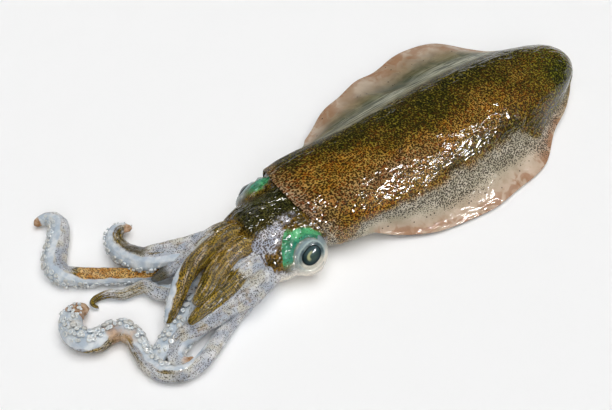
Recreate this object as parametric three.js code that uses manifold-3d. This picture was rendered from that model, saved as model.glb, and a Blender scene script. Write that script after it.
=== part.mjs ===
// A whole raw squid with broad fins, lying belly down with its arms spread.
// Millimetres. X runs from the arms to the tail, Y to the animal's right, Z up.
// Shapes are worked out with X = 0 at the mantle's front edge. The group then
// shifts them so that the origin is under the middle of the whole animal.

import * as THREE from 'three';
import Module from 'manifold-3d';

const wasm = await Module();
wasm.setup();

// ---- driving dimensions ----

const MANTLE_LENGTH = 258;      // front edge to tail tip, along the back
const MANTLE_HALF_WIDTH = 43;   // at the widest, just behind the front edge
const MANTLE_HEIGHT = 46;       // of the slumped body, at the middle
const MANTLE_WIDEST = 0.42;     // height of the widest point, as a share of the section
const BELLY_PRESS = 1.6;        // how far the belly is flattened by its own weight
const TAIL_SWERVE = 8;          // sideways bend of the tail towards the right
const FRONT_SWERVE = 5.5;       // sideways bend of the front edge towards the right
const FRONT_BEND_LENGTH = 60;   // how far back the front bend reaches
const LOBE = 5;                 // forward reach of the front edge over the middle of the neck
const LOBE_LENGTH = 30;         // how far back the lobe fades out
const MOUTH_DEPTH = 16;         // depth of the opening that the neck sits in
const MOUTH_WALL = 5;           // thickness of the mantle at its front edge
const HEAD_HALF_WIDTH = 32;
const HEAD_HEIGHT = 38;
const HEAD_FRONT = -52;         // where the arms part from the head
const NECK_END = 9;
const HEAD_OFFSET = 1;          // sideways place of the head's middle
const EYE_RADIUS = 15.5;
const EYE_CENTRE = [-17, 26.5, 17];
const FIN_ROOT_THICK = 5;
const FIN_EDGE_THICK = 1.8;
const GAP = 0.3;                // clearance between neighbouring solids

// Share of the full width, height and belly lift, from front edge (0) to tail (1).
const MANTLE_WIDTH_SHARE = [[0, 0.9], [0.1, 0.98], [0.3, 1], [0.6, 0.93], [0.78, 0.81],
    [0.9, 0.61], [0.96, 0.42], [0.99, 0.2], [1, 0.03]];
const MANTLE_HEIGHT_SHARE = [[0, 0.83], [0.14, 0.96], [0.35, 1], [0.6, 0.98], [0.8, 0.82],
    [0.92, 0.64], [0.98, 0.48], [1, 0.34]];
const BELLY_LIFT = [[0, 0], [0.9, 0], [0.96, 2.5], [0.99, 7], [1, 11]];

// Half width, height and belly lift of the head, from the neck to the arms.
const HEAD_WIDTH_SHARE = [[HEAD_FRONT, 0.74], [-44, 0.88], [-30, 0.96], [-18, 1], [-6, 0.9], [2, 0.83],
    [NECK_END, 0.8]];
const HEAD_HEIGHT_SHARE = [[HEAD_FRONT, 0.8], [-40, 0.96], [-22, 1], [-8, 0.875], [NECK_END, 0.84]];
const HEAD_LIFT = [[HEAD_FRONT, 4], [-40, 0.6], [-12, 0.6], [-1, 4.8], [NECK_END, 5.5]];

// Each fin: where it leaves the mantle's section, how far its edge stands out from
// the mantle's axis, and how high that edge lies, all along the body.
const FINS = {
    fin_left: {
        side: -1,
        rootAngle: 12,
        reach: [[30, 40], [43, 45], [74, 60], [107, 65], [133, 66], [160, 64], [185, 57],
            [210, 40], [234, 28], [250, 12]],
        edgeHeight: [[30, 8], [60, 3], [180, 2.5], [225, 6], [250, 9]],
        bulge: 0.35,
    },
    fin_right: {
        side: 1,
        rootAngle: 38,
        reach: [[14, 40], [46, 58], [85, 76], [120, 85], [155, 88], [184, 79], [206, 57],
            [230, 34], [250, 12]],
        edgeHeight: [[14, 20], [60, 15], [120, 13], [180, 11], [225, 10], [250, 11]],
        bulge: 0.5,
    },
};
const FIN_STATIONS = 22;
const FIN_POINTS = 6;

// Each limb: the route of its centre line from inside the head to its tip, its half
// width along that route, and its thickness as a share of its width.
const LIMBS = {
    arm_right_1: {
        route: [[-44, 8, 27], [-50, 10, 30], [-63, 8, 30], [-75, 6, 28], [-89, 4, 25.5], [-100, 0, 22],
            [-108, -5, 18], [-114, -10, 15], [-121, -15, 13.5]],
        width: [7.5, 6], tip: 3, thickness: 1,
    },
    arm_left_1: {
        route: [[-44, -6, 28], [-53, -4, 31], [-67, -7, 31], [-82, -13, 29], [-93, -19, 27], [-103, -22, 25]],
        width: [7.5, 6.5], tip: 3, thickness: 1,
    },
    arm_left_2: {
        route: [[-44, -17, 22], [-53, -16, 24.5], [-65, -19, 24], [-78, -23, 22.5], [-90, -25, 21.5],
            [-102, -27, 21], [-112, -29, 20]],
        width: [7, 5], tip: 2.5, thickness: 0.95,
    },
    arm_right_2: {
        route: [[-44, 18, 23], [-56, 18, 25], [-69, 18, 23], [-81, 18, 19], [-92, 18, 15], [-102, 20, 11],
            [-109, 22, 9]],
        width: [7, 5], tip: 2.5, thickness: 0.9,
    },
    arm_left_3: {
        route: [[-44, -20, 12], [-54, -25, 14.5], [-66, -28, 15], [-80, -28, 14], [-95, -28, 12.5],
            [-110, -29, 10], [-121, -31, 7.5], [-128, -37, 6], [-125, -43, 5], [-119, -43, 4]],
        width: [10, 8], tip: 3, thickness: 0.85,
    },
    arm_right_3: {
        route: [[-44, 20, 14], [-56, 22, 16], [-68, 24, 17], [-80, 27, 17], [-94, 30, 17], [-106, 36, 15],
            [-112, 46, 12], [-114, 57, 10], [-112, 67, 9], [-106, 73, 8], [-100, 73, 7.5], [-95, 69, 7]],
        width: [9, 8], tip: 3, thickness: 0.8,
    },
    arm_left_4: {
        route: [[-44, -8, 8], [-60, -10, 6.5], [-80, -11, 6.5], [-100, -12, 6.5], [-115, -18, 6.5],
            [-126, -24, 6.5], [-134, -28, 6.5], [-139, -33, 5]],
        width: [7, 7], tip: 4, thickness: 0.85,
    },
    arm_right_4: {
        route: [[-44, 8, 8], [-60, 8, 6.5], [-78, 6, 6.5], [-92, 3, 6.5], [-102, 6, 6.5], [-110, 13, 6],
            [-114, 22, 6], [-122, 25, 5], [-129, 27, 4], [-135, 32, 4], [-141, 35, 3], [-147, 35, 2.6],
            [-149, 32, 2.4], [-147, 28, 2.2]],
        width: [7, 4], tip: 1.8, thickness: 0.85,
    },
    tentacle_left: {
        route: [[-44, -20, 5], [-58, -27, 5], [-72, -31, 5], [-84, -35, 5], [-95, -40, 5.5], [-106, -45, 5.5],
            [-117, -49, 6], [-130, -49, 6], [-140, -42, 6], [-144, -31, 6], [-143, -19, 6], [-142, -8, 7],
            [-146, 1, 8], [-155, 3, 8], [-163, 3, 8], [-170, 8, 9], [-172, 17, 9], [-168, 27, 8],
            [-160, 31, 7], [-153, 29, 6]],
        width: [5, 9], tip: 6, thickness: 0.85,
    },
    tentacle_right: {
        route: [[-44, 20, 5], [-65, 24, 5], [-85, 24, 5], [-100, 27, 5], [-117, 36, 5.5], [-134, 47, 6],
            [-147, 56, 6], [-154, 64, 6], [-154, 74, 7], [-147, 84, 7], [-139, 94, 7], [-134, 103, 7],
            [-136, 111, 6], [-141, 114, 5], [-147, 114, 4.5]],
        width: [4.6, 7], tip: 3, thickness: 0.95,
    },
};
const MANTLE_SIDES = 30;
const LIMB_SIDES = 8;
const LIMB_STEP = 6.5;          // spacing of a limb's rings along its route
const SKIN_CLEAR = 0.35;        // lowest point of a limb above the ground

// ---- shared geometry ----

// Smooth curve through [position, value] pairs: a cubic between neighbours whose
// slopes are those of the chord across each point.
function smooth(points, at) {
    const last = points.length - 1;
    if (at <= points[0][0]) return points[0][1];
    if (at >= points[last][0]) return points[last][1];
    const i = points.findIndex((point) => point[0] > at) - 1;
    const slope = (k) => {
        const before = points[Math.max(k - 1, 0)];
        const after = points[Math.min(k + 1, last)];
        return (after[1] - before[1]) / (after[0] - before[0]);
    };
    const [x0, y0] = points[i];
    const [x1, y1] = points[i + 1];
    const span = x1 - x0;
    const t = (at - x0) / span;
    const bend0 = (1 + 2 * t) * (1 - t) ** 2 * y0 + t * (1 - t) ** 2 * span * slope(i);
    const bend1 = t * t * (3 - 2 * t) * y1 + t * t * (t - 1) * span * slope(i + 1);
    return bend0 + bend1;
}

// One point of a slumped round section at an angle from its right side.
// The lower half is fuller than the upper, and is pressed flat where it rests.
function sectionPoint(halfWidth, top, bottom, angle) {
    const middle = bottom + MANTLE_WIDEST * (top - bottom);
    const across = Math.cos(angle);
    const up = Math.sin(angle);
    const y = halfWidth * Math.sign(across) * Math.abs(across) ** 0.88;
    const low = middle - (middle - bottom + BELLY_PRESS) * Math.abs(up) ** 0.75;
    const z = up >= 0 ? middle + (top - middle) * up ** 0.96 : Math.max(low, bottom);
    return [y, z];
}

// A closed body through rings of equal length, with a fan over each end ring.
function loft(rings) {
    const count = rings[0].length;
    const vertices = rings.flat(2);
    const triangles = [];
    for (let r = 0; r < rings.length - 1; r += 1) {
        for (let k = 0; k < count; k += 1) {
            const a = r * count + k;
            const b = r * count + (k + 1) % count;
            triangles.push(a, b, b + count, a, b + count, a + count);
        }
    }
    for (const [first, turned] of [[0, true], [(rings.length - 1) * count, false]]) {
        const centre = vertices.length / 3;
        const ring = rings[first / count];
        for (const axis of [0, 1, 2]) {
            vertices.push(ring.reduce((sum, point) => sum + point[axis], 0) / count);
        }
        for (let k = 0; k < count; k += 1) {
            const a = first + k;
            const b = first + (k + 1) % count;
            triangles.push(...(turned ? [b, a, centre] : [a, b, centre]));
        }
    }
    return new wasm.Manifold(new wasm.Mesh({
        numProp: 3,
        vertProperties: new Float32Array(vertices),
        triVerts: new Uint32Array(triangles),
    }));
}

// The largest of the separate bodies that a cut leaves.
function largest(solid) {
    return solid.decompose().reduce((best, piece) => (piece.volume() > best.volume() ? piece : best));
}

function range(from, to, steps) {
    return Array.from({ length: steps + 1 }, (_, k) => from + (to - from) * k / steps);
}

// ---- mantle ----

function axisOffset(x) {
    const front = Math.max(1 - Math.max(x, 0) / FRONT_BEND_LENGTH, 0);
    return TAIL_SWERVE * Math.max(x / MANTLE_LENGTH, 0) ** 2 + FRONT_SWERVE * front ** 2;
}

function mantleRing(x, shrink, grow, count = MANTLE_SIDES) {
    const share = x / MANTLE_LENGTH;
    const half = MANTLE_HALF_WIDTH * smooth(MANTLE_WIDTH_SHARE, share) - shrink + grow;
    const top = MANTLE_HEIGHT * smooth(MANTLE_HEIGHT_SHARE, share) - shrink + grow;
    const bottom = smooth(BELLY_LIFT, share) + shrink - grow;
    const lobe = LOBE * Math.max(1 - x / LOBE_LENGTH, 0) ** 2;
    return range(0, count - 1, count - 1).map((k) => {
        const angle = 2 * Math.PI * k / count;
        const [y, z] = sectionPoint(half, top, bottom, angle);
        return [x - lobe * Math.max(Math.sin(angle), 0) ** 2, y + axisOffset(x), z];
    });
}

function mantleStations() {
    return [...range(6, 234, 16), 242, 248, 253, 256.5, MANTLE_LENGTH];
}

function mantleSolid() {
    const rings = [
        mantleRing(MOUTH_DEPTH, MOUTH_WALL, 0),
        mantleRing(1.5, MOUTH_WALL - 1, 0),
        mantleRing(0, MOUTH_WALL / 2, 0),
        mantleRing(1.5, 0.4, 0),
        ...mantleStations().map((x) => mantleRing(x, 0, 0)),
    ];
    return loft(rings);
}

// The mantle without its mouth and grown by the gap, to cut its neighbours with.
function mantleClearance() {
    const rings = [0, ...mantleStations()].map((x) => mantleRing(x, 0, GAP));
    return loft(rings);
}

// ---- fins ----

// Section of a fin: a curved blade from inside the mantle's flank to its thin edge.
function finRing(fin, x) {
    const share = x / MANTLE_LENGTH;
    const half = MANTLE_HALF_WIDTH * smooth(MANTLE_WIDTH_SHARE, share);
    const top = MANTLE_HEIGHT * smooth(MANTLE_HEIGHT_SHARE, share);
    const bottom = smooth(BELLY_LIFT, share);
    const [rootY, rootZ] = sectionPoint(half, top, bottom, fin.rootAngle * Math.PI / 180);
    const edgeY = smooth(fin.reach, x);
    const edgeZ = smooth(fin.edgeHeight, x);
    const start = new THREE.Vector2(rootY - 4, rootZ - 2);
    const end = new THREE.Vector2(Math.max(edgeY, start.x + 6), Math.min(edgeZ, rootZ));
    const bow = new THREE.Vector2(
        start.x + (end.x - start.x) * 0.55,
        start.y + (end.y - start.y) * fin.bulge,
    );
    const blade = new THREE.QuadraticBezierCurve(start, bow, end);
    const upper = [];
    const lower = [];
    for (const t of range(0, 1, FIN_POINTS)) {
        const point = blade.getPoint(t);
        const along = blade.getTangent(t);
        const thick = FIN_ROOT_THICK + (FIN_EDGE_THICK - FIN_ROOT_THICK) * t;
        upper.push([point.x, point.y]);
        lower.unshift([point.x + along.y * thick, Math.max(point.y - along.x * thick, GAP)]);
    }
    const outline = [...upper, ...lower].map(([y, z]) => [x, fin.side * y + axisOffset(x), z]);
    return fin.side > 0 ? outline.reverse() : outline;
}

function finSolid(fin, mantleCut) {
    const from = fin.reach[0][0];
    const to = fin.reach.at(-1)[0];
    const rings = range(from, to, FIN_STATIONS).map((x) => finRing(fin, x));
    return largest(loft(rings).subtract(mantleCut));
}

// ---- head, eyes and funnel ----

function headSolid(grow) {
    const stations = [HEAD_FRONT - grow, -49, -45, ...range(-40, 3, 7), NECK_END];
    const rings = stations.map((x) => {
        const half = HEAD_HALF_WIDTH * smooth(HEAD_WIDTH_SHARE, x) + grow;
        const top = HEAD_HEIGHT * smooth(HEAD_HEIGHT_SHARE, x) + grow;
        const bottom = smooth(HEAD_LIFT, x) - grow;
        return range(0, 21, 21).map((k) => {
            const [y, z] = sectionPoint(half, top, bottom, 2 * Math.PI * k / 22);
            return [x, y + HEAD_OFFSET, z];
        });
    });
    return loft(rings);
}

function ball(centre, radius) {
    const rings = range(8, 172, 10).map((polar) => {
        const lean = polar * Math.PI / 180;
        return range(0, 13, 13).map((k) => {
            const turn = 2 * Math.PI * k / 14;
            return [
                centre[0] - radius * Math.cos(lean),
                centre[1] + radius * Math.sin(lean) * Math.cos(turn),
                centre[2] + radius * Math.sin(lean) * Math.sin(turn),
            ];
        });
    });
    return loft(rings);
}

// The funnel is a soft flattened tube under the head, open towards the arms.
const FUNNEL = { back: -0.6, front: -28, halfWidth: [13, 7], height: [13, 8], wall: 2, depth: 6 };

function funnelSolid(grow) {
    const ring = (x, shrink) => {
        const t = (FUNNEL.back - x) / (FUNNEL.back - FUNNEL.front);
        const half = THREE.MathUtils.lerp(...FUNNEL.halfWidth, t) - shrink + grow;
        const top = THREE.MathUtils.lerp(...FUNNEL.height, t) - shrink + grow;
        return range(0, 11, 11).map((k) => {
            const turn = 2 * Math.PI * k / 12;
            const middle = 1 + top / 2;
            return [x, half * Math.cos(turn), middle + (middle - 0.6 - shrink + grow) * Math.sin(turn)];
        });
    };
    const outer = range(FUNNEL.front, FUNNEL.back, 5);
    if (grow > 0) return loft([FUNNEL.front - grow, ...outer, FUNNEL.back + grow].map((x) => ring(x, 0)));
    return loft([
        ring(FUNNEL.front + FUNNEL.depth, FUNNEL.wall),
        ring(FUNNEL.front, FUNNEL.wall * 0.8),
        ...outer.map((x) => ring(x, 0)),
    ]);
}

// ---- arms and tentacles ----

// A tapering limb of oval section carried along a smooth route, kept off the ground.
function limbSolid(limb, grow) {
    const route = new THREE.CatmullRomCurve3(
        limb.route.map((point) => new THREE.Vector3(...point)),
        false,
        'centripetal',
    );
    const steps = Math.round(route.getLength() / LIMB_STEP);
    const up = new THREE.Vector3(0, 0, 1);
    const rings = range(0, 1, steps).map((t) => {
        const along = route.getTangentAt(t);
        const centre = route.getPointAt(t).addScaledVector(along, t === 1 ? grow : 0);
        const across = along.clone().cross(up).normalize();
        const over = across.clone().cross(along);
        const body = THREE.MathUtils.lerp(...limb.width, t);
        const point = Math.sqrt(Math.max(1 - ((t - 0.72) / 0.28) ** 2, 0));
        const half = (t < 0.72 ? body : limb.tip * 0.4 + (body - limb.tip * 0.4) * point) + grow;
        return range(0, LIMB_SIDES - 1, LIMB_SIDES - 1).map((k) => {
            const turn = -2 * Math.PI * k / LIMB_SIDES;
            const spot = centre.clone()
                .addScaledVector(across, half * Math.cos(turn))
                .addScaledVector(over, half * limb.thickness * Math.sin(turn));
            return [spot.x, spot.y, Math.max(spot.z, SKIN_CLEAR - grow)];
        });
    });
    return loft(rings);
}

// ---- the animal ----

const LOOKS = {
    mantle: [0x6b5424, 0.35],
    fin: [0xb0a08a, 0.4],
    head: [0x5c4a26, 0.35],
    eye: [0x2c3a46, 0.15],
    arm: [0xa8a2a6, 0.35],
    tentacle: [0xb9aeac, 0.35],
    funnel: [0xcfc9c4, 0.4],
};

function meshOf(name, look, solid) {
    const { vertProperties, triVerts } = solid.getMesh();
    const geometry = new THREE.BufferGeometry();
    geometry.setAttribute('position', new THREE.BufferAttribute(vertProperties, 3));
    geometry.setIndex(new THREE.BufferAttribute(triVerts, 1));
    geometry.computeVertexNormals();
    const [color, roughness] = LOOKS[look];
    const mesh = new THREE.Mesh(geometry, new THREE.MeshStandardMaterial({ color, roughness, metalness: 0 }));
    mesh.name = name;
    return mesh;
}

const squid = new THREE.Group();

squid.add(meshOf('mantle', 'mantle', mantleSolid()));

const mantleCut = mantleClearance();
for (const [name, fin] of Object.entries(FINS)) {
    squid.add(meshOf(name, 'fin', finSolid(fin, mantleCut)));
}

let head = headSolid(0).subtract(funnelSolid(GAP));
for (const [name, side] of [['eye_left', -1], ['eye_right', 1]]) {
    const centre = [EYE_CENTRE[0], side * EYE_CENTRE[1] + HEAD_OFFSET, EYE_CENTRE[2]];
    head = head.subtract(ball(centre, EYE_RADIUS + GAP));
    squid.add(meshOf(name, 'eye', ball(centre, EYE_RADIUS)));
}
squid.add(meshOf('head', 'head', largest(head)));
squid.add(meshOf('funnel', 'funnel', funnelSolid(0)));

let taken = headSolid(GAP);
for (const [name, limb] of Object.entries(LIMBS)) {
    const look = name.startsWith('arm') ? 'arm' : 'tentacle';
    squid.add(meshOf(name, look, largest(limbSolid(limb, 0).subtract(taken))));
    taken = taken.add(limbSolid(limb, GAP));
}

const box = new THREE.Box3().setFromObject(squid);
const centre = box.getCenter(new THREE.Vector3());
squid.position.set(-centre.x, -centre.y, -box.min.z);

export default squid;
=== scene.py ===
"""Looks of a whole raw squid, lying belly down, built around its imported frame.

The shapes are worked out in millimetres with X = 0 at the mantle's front edge, X towards
the tail, Y towards the animal's right and Z up. place() then puts them in the frame.
"""

import math

import bpy
import numpy as np
from bpy.props import FloatProperty, FloatVectorProperty, PointerProperty
from bpy.types import Operator, Panel, PropertyGroup
from mathutils import Matrix, Vector


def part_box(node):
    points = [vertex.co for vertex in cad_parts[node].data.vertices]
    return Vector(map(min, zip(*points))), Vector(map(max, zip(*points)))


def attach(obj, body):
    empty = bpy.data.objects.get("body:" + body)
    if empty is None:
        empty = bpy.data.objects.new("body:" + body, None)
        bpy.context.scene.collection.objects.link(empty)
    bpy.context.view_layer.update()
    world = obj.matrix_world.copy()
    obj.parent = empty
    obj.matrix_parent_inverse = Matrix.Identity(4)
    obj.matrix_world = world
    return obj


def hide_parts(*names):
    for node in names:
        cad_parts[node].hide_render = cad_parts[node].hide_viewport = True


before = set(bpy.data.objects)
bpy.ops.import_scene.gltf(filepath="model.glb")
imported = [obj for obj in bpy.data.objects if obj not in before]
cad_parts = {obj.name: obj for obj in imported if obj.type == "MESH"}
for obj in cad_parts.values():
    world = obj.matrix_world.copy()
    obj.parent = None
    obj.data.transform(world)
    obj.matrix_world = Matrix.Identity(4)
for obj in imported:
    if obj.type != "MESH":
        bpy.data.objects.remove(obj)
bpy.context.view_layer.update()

bl_info = {
    "name": "Raw squid",
    "version": (1, 0, 0),
    "blender": (4, 5, 0),
    "location": "View3D > Sidebar > Squid",
    "description": "Skin, fins, eyes, arms, tentacles and suckers of a whole raw squid",
    "category": "Object",
}

MM = 0.001

# ---- driving sizes, mm ----
# They follow the frame's solids, except that the mantle's front edge swerves and reaches further
# forwards, and that it and the neck are fuller.

MANTLE_LENGTH = 258     # front edge to tail tip
MANTLE_HALF_WIDTH = 43  # at the widest
MANTLE_HEIGHT = 46
SECTION_WIDEST = 0.42   # height of the widest point, as a share of a section's height
BELLY_PRESS = 1.6       # how far a section would hang below the belly if it weren't pressed flat
TAIL_SWERVE = 8         # sideways bend of the tail towards the right
FRONT_SWERVE = 9        # sideways bend of the front edge towards the right
FRONT_BEND_LENGTH = 75  # how far back the front bend reaches
LOBE = 9                # forward reach of the front edge over the neck
LOBE_LENGTH = 30        # how far back the lobe fades out
MOUTH_DEPTH = 16        # depth of the opening that the neck sits in
MOUTH_WALL = 5          # the mantle's thickness at the opening's floor
LIP_SINK = 1.6          # how far the rounded lip lies inside the mantle's outline
LIP_DEPTH = 2           # where the lip's rounding starts
LIP_ROUND = 1.6         # how far the rounding reaches forwards
LIP_WALL = 1.5          # thickness of the lip
TAIL_START = 246        # from here the rings draw closer together
HEAD_HALF_WIDTH = 32
HEAD_HEIGHT = 38
HEAD_FRONT = -52        # front of the head, where the web begins
WEB_FRONT = -84         # front of the web between the arms' bases
HEAD_CORE = 18          # height of the line around which the head is worked out
HEAD_OFFSET = 1         # sideways place of the head's middle
NECK_END = 9            # back end of the neck, inside the mantle
EYE_RADIUS = 15.5
EYE_CENTRE = (-17, 26.5, 17)
GROUND = 0.3            # least height of fins, limbs and suckers above the table

# Shares of the mantle's width and height, and lift of its belly in mm, from front edge (0) to tail (1).
WIDTH_SHARE = ((0, 0.94), (0.1, 0.99), (0.3, 1), (0.6, 0.93), (0.78, 0.81), (0.9, 0.61), (0.96, 0.42),
               (0.99, 0.2), (1, 0.03))
HEIGHT_SHARE = ((0, 0.87), (0.14, 0.97), (0.35, 1), (0.6, 0.98), (0.8, 0.82), (0.92, 0.64), (0.98, 0.48),
                (1, 0.34))
BELLY_LIFT = ((0, 0), (0.9, 0), (0.96, 2.5), (0.99, 7), (1, 11))

# Distance from the mantle's axis to the edge of the brown skin on the far side, at places along it.
FAR_PIGMENT_EDGE = ((0, 44), (20, 42), (45, 35), (64, 31), (104, 31), (155, 31), (200, 30), (225, 40),
                    (258, 60))

# Shares of the head's width and height, and height of its underside, from the web to the neck.
HEAD_WIDTH = ((WEB_FRONT, 0.36), (-74, 0.56), (-62, 0.7), (HEAD_FRONT, 0.76), (-44, 0.88), (-30, 0.96),
              (-18, 1), (-6, 1.06), (2, 1.12), (NECK_END, 1.1))
HEAD_TOP = ((WEB_FRONT, 0.4), (-74, 0.58), (-62, 0.72), (HEAD_FRONT, 0.8), (-40, 0.96), (-22, 1),
            (-12, 0.955), (-2, 0.955), (NECK_END, 0.93))
HEAD_LIFT = ((WEB_FRONT, 8), (HEAD_FRONT, 4), (-40, 0.6), (-12, 0.6), (-1, 4.8), (NECK_END, 5.5))

# Each fin: its side, the angle of its root on the mantle's section, the angle where its underside
# meets the flank, its thickness, the slope at its edge, the length over which it grows at its
# front, the reach of its edge from the mantle's axis, and the height of that edge.
FINS = (
    {"side": -1, "root": 30, "under": -32, "thick": 4.5, "slope": 0.45, "fade": 40,
     "reach": ((8, 38), (24, 38.5), (36, 41), (49, 46), (62, 52), (75, 58), (90, 62.3), (107, 64.6),
               (126, 66), (147, 64.5), (170, 61.5), (184, 56.5), (205, 42), (224, 33), (241, 22.5),
               (252, 12)),
     "height": ((8, 12), (24, 10), (60, 4), (180, 2.5), (225, 6), (252, 9))},
    {"side": 1, "root": 40, "under": 2, "thick": 4.5, "slope": 0.2, "fade": 20,
     "reach": ((26, 42), (44, 55), (56, 62.5), (72, 71), (90, 76.5), (108, 80.5), (128, 83),
               (150, 85.5), (169, 84), (185, 78), (198, 69), (209, 57.5), (219, 45), (233, 34), (252, 12)),
     "height": ((26, 20), (60, 15), (120, 13), (180, 11), (225, 10), (252, 11))},
)

# The shapes' zero in the frame: a mantle's length in front of the tail's tip, and placed so that
# the head's middle is half way between the eyes.
ORIGIN = np.array([
    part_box("mantle")[1][0] / MM - MANTLE_LENGTH,
    (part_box("eye_left")[0][1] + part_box("eye_right")[1][1]) / 2 / MM - HEAD_OFFSET,
    0,
])

# ---- the view and the light ----

CAMERA_TARGET = (-22.70, -8.366, 0)  # mm
CAMERA_TURN = -37                    # degrees around the table
CAMERA_RISE = 50                     # degrees above it
CAMERA_DISTANCE = 0.9                # m
CAMERA_LENS = 75                     # mm
CAMERA_SENSOR = 36                   # mm
TABLE_REACH = 4                      # m, from the middle to an edge
TABLE_DROP = 0.0004                  # m, below the animal
WORLD_LIGHT = 0.14                   # strength of the surroundings as light
WORLD_SEEN = 0.908                   # their strength to the camera, to match the table top
WORLD_GLOSS = -0.08                  # what a mirror-like reflection adds to their strength


# ---- numbers on arrays ----

def smooth(points, at):
    """Cubic through (place, value) pairs, each with the slope of the chord across it."""
    places, values = np.array(points, float).T
    slopes = np.gradient(values)
    slopes[1:-1] = (values[2:] - values[:-2]) / (places[2:] - places[:-2])
    slopes[0] = (values[1] - values[0]) / (places[1] - places[0])
    slopes[-1] = (values[-1] - values[-2]) / (places[-1] - places[-2])
    at = np.clip(at, places[0], places[-1])
    i = np.clip(np.searchsorted(places, at, side="right") - 1, 0, len(places) - 2)
    span = places[i + 1] - places[i]
    t = (at - places[i]) / span
    return ((1 + 2 * t) * (1 - t) ** 2 * values[i] + t * (1 - t) ** 2 * span * slopes[i]
            + t * t * (3 - 2 * t) * values[i + 1] + t * t * (t - 1) * span * slopes[i + 1])


def step(low, high, at):
    """Smooth ramp from 0 at low to 1 at high."""
    t = np.clip((np.asarray(at, float) - low) / (high - low), 0, 1)
    return t * t * (3 - 2 * t)


def hump(centre, width, at):
    """Bell of height 1 around centre."""
    return np.exp(-((np.asarray(at, float) - centre) / width) ** 2)


def noise(points, size, seed):
    """Value noise from -1 to 1: random numbers on a cubic lattice, blended smoothly between corners."""
    cells = 61
    table = np.random.default_rng(seed).uniform(-1, 1, (cells, cells, cells))
    spot = np.asarray(points, float) / size + 1000
    base = np.floor(spot).astype(int)
    t = spot - base
    t = t * t * (3 - 2 * t)
    total = 0
    for corner in range(8):
        offset = np.array([(corner >> axis) & 1 for axis in range(3)])
        index = (base + offset) % cells
        weight = np.prod(np.where(offset == 1, t, 1 - t), axis=-1)
        total = total + weight * table[index[..., 0], index[..., 1], index[..., 2]]
    return total


def unit(vectors):
    """Vectors drawn out to a length of 1."""
    return vectors / np.maximum(np.linalg.norm(vectors, axis=-1, keepdims=True), 1e-9)


def section(half, top, bottom, angle):
    """Slumped round section: an upper half ellipse over a fuller lower one, pressed flat below."""
    middle = bottom + SECTION_WIDEST * (top - bottom)
    across, up = np.cos(angle), np.sin(angle)
    y = half * np.sign(across) * np.abs(across) ** 0.88
    low = middle - (middle - bottom + BELLY_PRESS) * np.abs(up) ** 0.75
    z = np.where(up >= 0, middle + (top - middle) * np.abs(up) ** 0.96, np.maximum(low, bottom))
    return y, z


# ---- meshes ----

def place(points):
    """From the maker's millimetres to the frame's metres."""
    return (points + ORIGIN) * MM


def grid_faces(rows, columns):
    """Quads of a grid whose rows run along the shape and whose columns run all the way around it."""
    row, column = np.meshgrid(np.arange(rows - 1), np.arange(columns), indexing="ij")
    a = row * columns + column
    b = row * columns + (column + 1) % columns
    return np.stack([a, b, b + columns, a + columns], axis=-1).reshape(-1, 4)


def closed_grid(points):
    """Points and faces of a tube of rings with a fan of triangles over each end."""
    rows, columns, _ = points.shape
    flat = points.reshape(-1, 3)
    first, last = points[0].mean(0), points[-1].mean(0)
    k = np.arange(columns)
    n = (k + 1) % columns
    start = (rows - 1) * columns
    end_a = np.stack([n, k, np.full(columns, len(flat))], axis=-1)
    end_b = np.stack([start + k, start + n, np.full(columns, len(flat) + 1)], axis=-1)
    return np.vstack([flat, first, last]), grid_faces(rows, columns), np.vstack([end_a, end_b])


def enclosed_volume(points, quads, triangles):
    """Signed volume inside the faces: a sixth of the sum of each triangle's corners' triple product."""
    corners = points[np.vstack([quads[:, [0, 1, 2]], quads[:, [0, 2, 3]], triangles])]
    return np.einsum("ij,ij->", corners[:, 0], np.cross(corners[:, 1], corners[:, 2])) / 6


def make_mesh(name, points, quads, triangles, masks):
    """One smooth-shaded object at the origin, faces outwards, with a float attribute for each mask."""
    if enclosed_volume(points, quads, triangles) < 0:
        quads, triangles = quads[:, ::-1], triangles[:, ::-1]
    mesh = bpy.data.meshes.new(name)
    mesh.vertices.add(len(points))
    mesh.vertices.foreach_set("co", place(points).astype(np.float32).ravel())
    mesh.loops.add(quads.size + triangles.size)
    corners = np.concatenate([quads.ravel(), triangles.ravel()])
    mesh.loops.foreach_set("vertex_index", corners.astype(np.int32))
    sizes = np.concatenate([np.full(len(quads), 4), np.full(len(triangles), 3)])
    mesh.polygons.add(len(sizes))
    mesh.polygons.foreach_set("loop_start", (np.cumsum(sizes) - sizes).astype(np.int32))
    mesh.polygons.foreach_set("use_smooth", np.ones(len(sizes), bool))
    mesh.update(calc_edges=True)
    mesh.validate()
    for mask, values in masks.items():
        layer = mesh.attributes.new(mask, "FLOAT", "POINT")
        layer.data.foreach_set("value", np.asarray(values, np.float32).ravel())
    piece = bpy.data.objects.new(name, mesh)
    bpy.context.scene.collection.objects.link(piece)
    return piece


def grid_piece(name, points, masks):
    """A closed grid as an object; each mask gets the mean of an end ring at that end's point."""
    spots, quads, fans = closed_grid(points)
    full = {}
    for mask, values in masks.items():
        values = np.broadcast_to(values, points.shape[:2])
        full[mask] = np.concatenate([values.ravel(), [values[0].mean()], [values[-1].mean()]])
    return make_mesh(name, spots, quads, fans, full)


def finish_piece(piece, material, slot, *nodes):
    """Gives a piece its finish and its place in the frame."""
    piece.data.materials.append(material)
    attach(piece, "root")
    if nodes:
        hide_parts(*nodes)
    return piece


# ---- mantle and fins ----

def axis_offset(x):
    """Sideways place of the body's middle: a bend at the front edge and another at the tail."""
    front = np.clip(1 - np.maximum(x, 0) / FRONT_BEND_LENGTH, 0, 1)
    return TAIL_SWERVE * np.maximum(x / MANTLE_LENGTH, 0) ** 2 + FRONT_SWERVE * front ** 2


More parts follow.
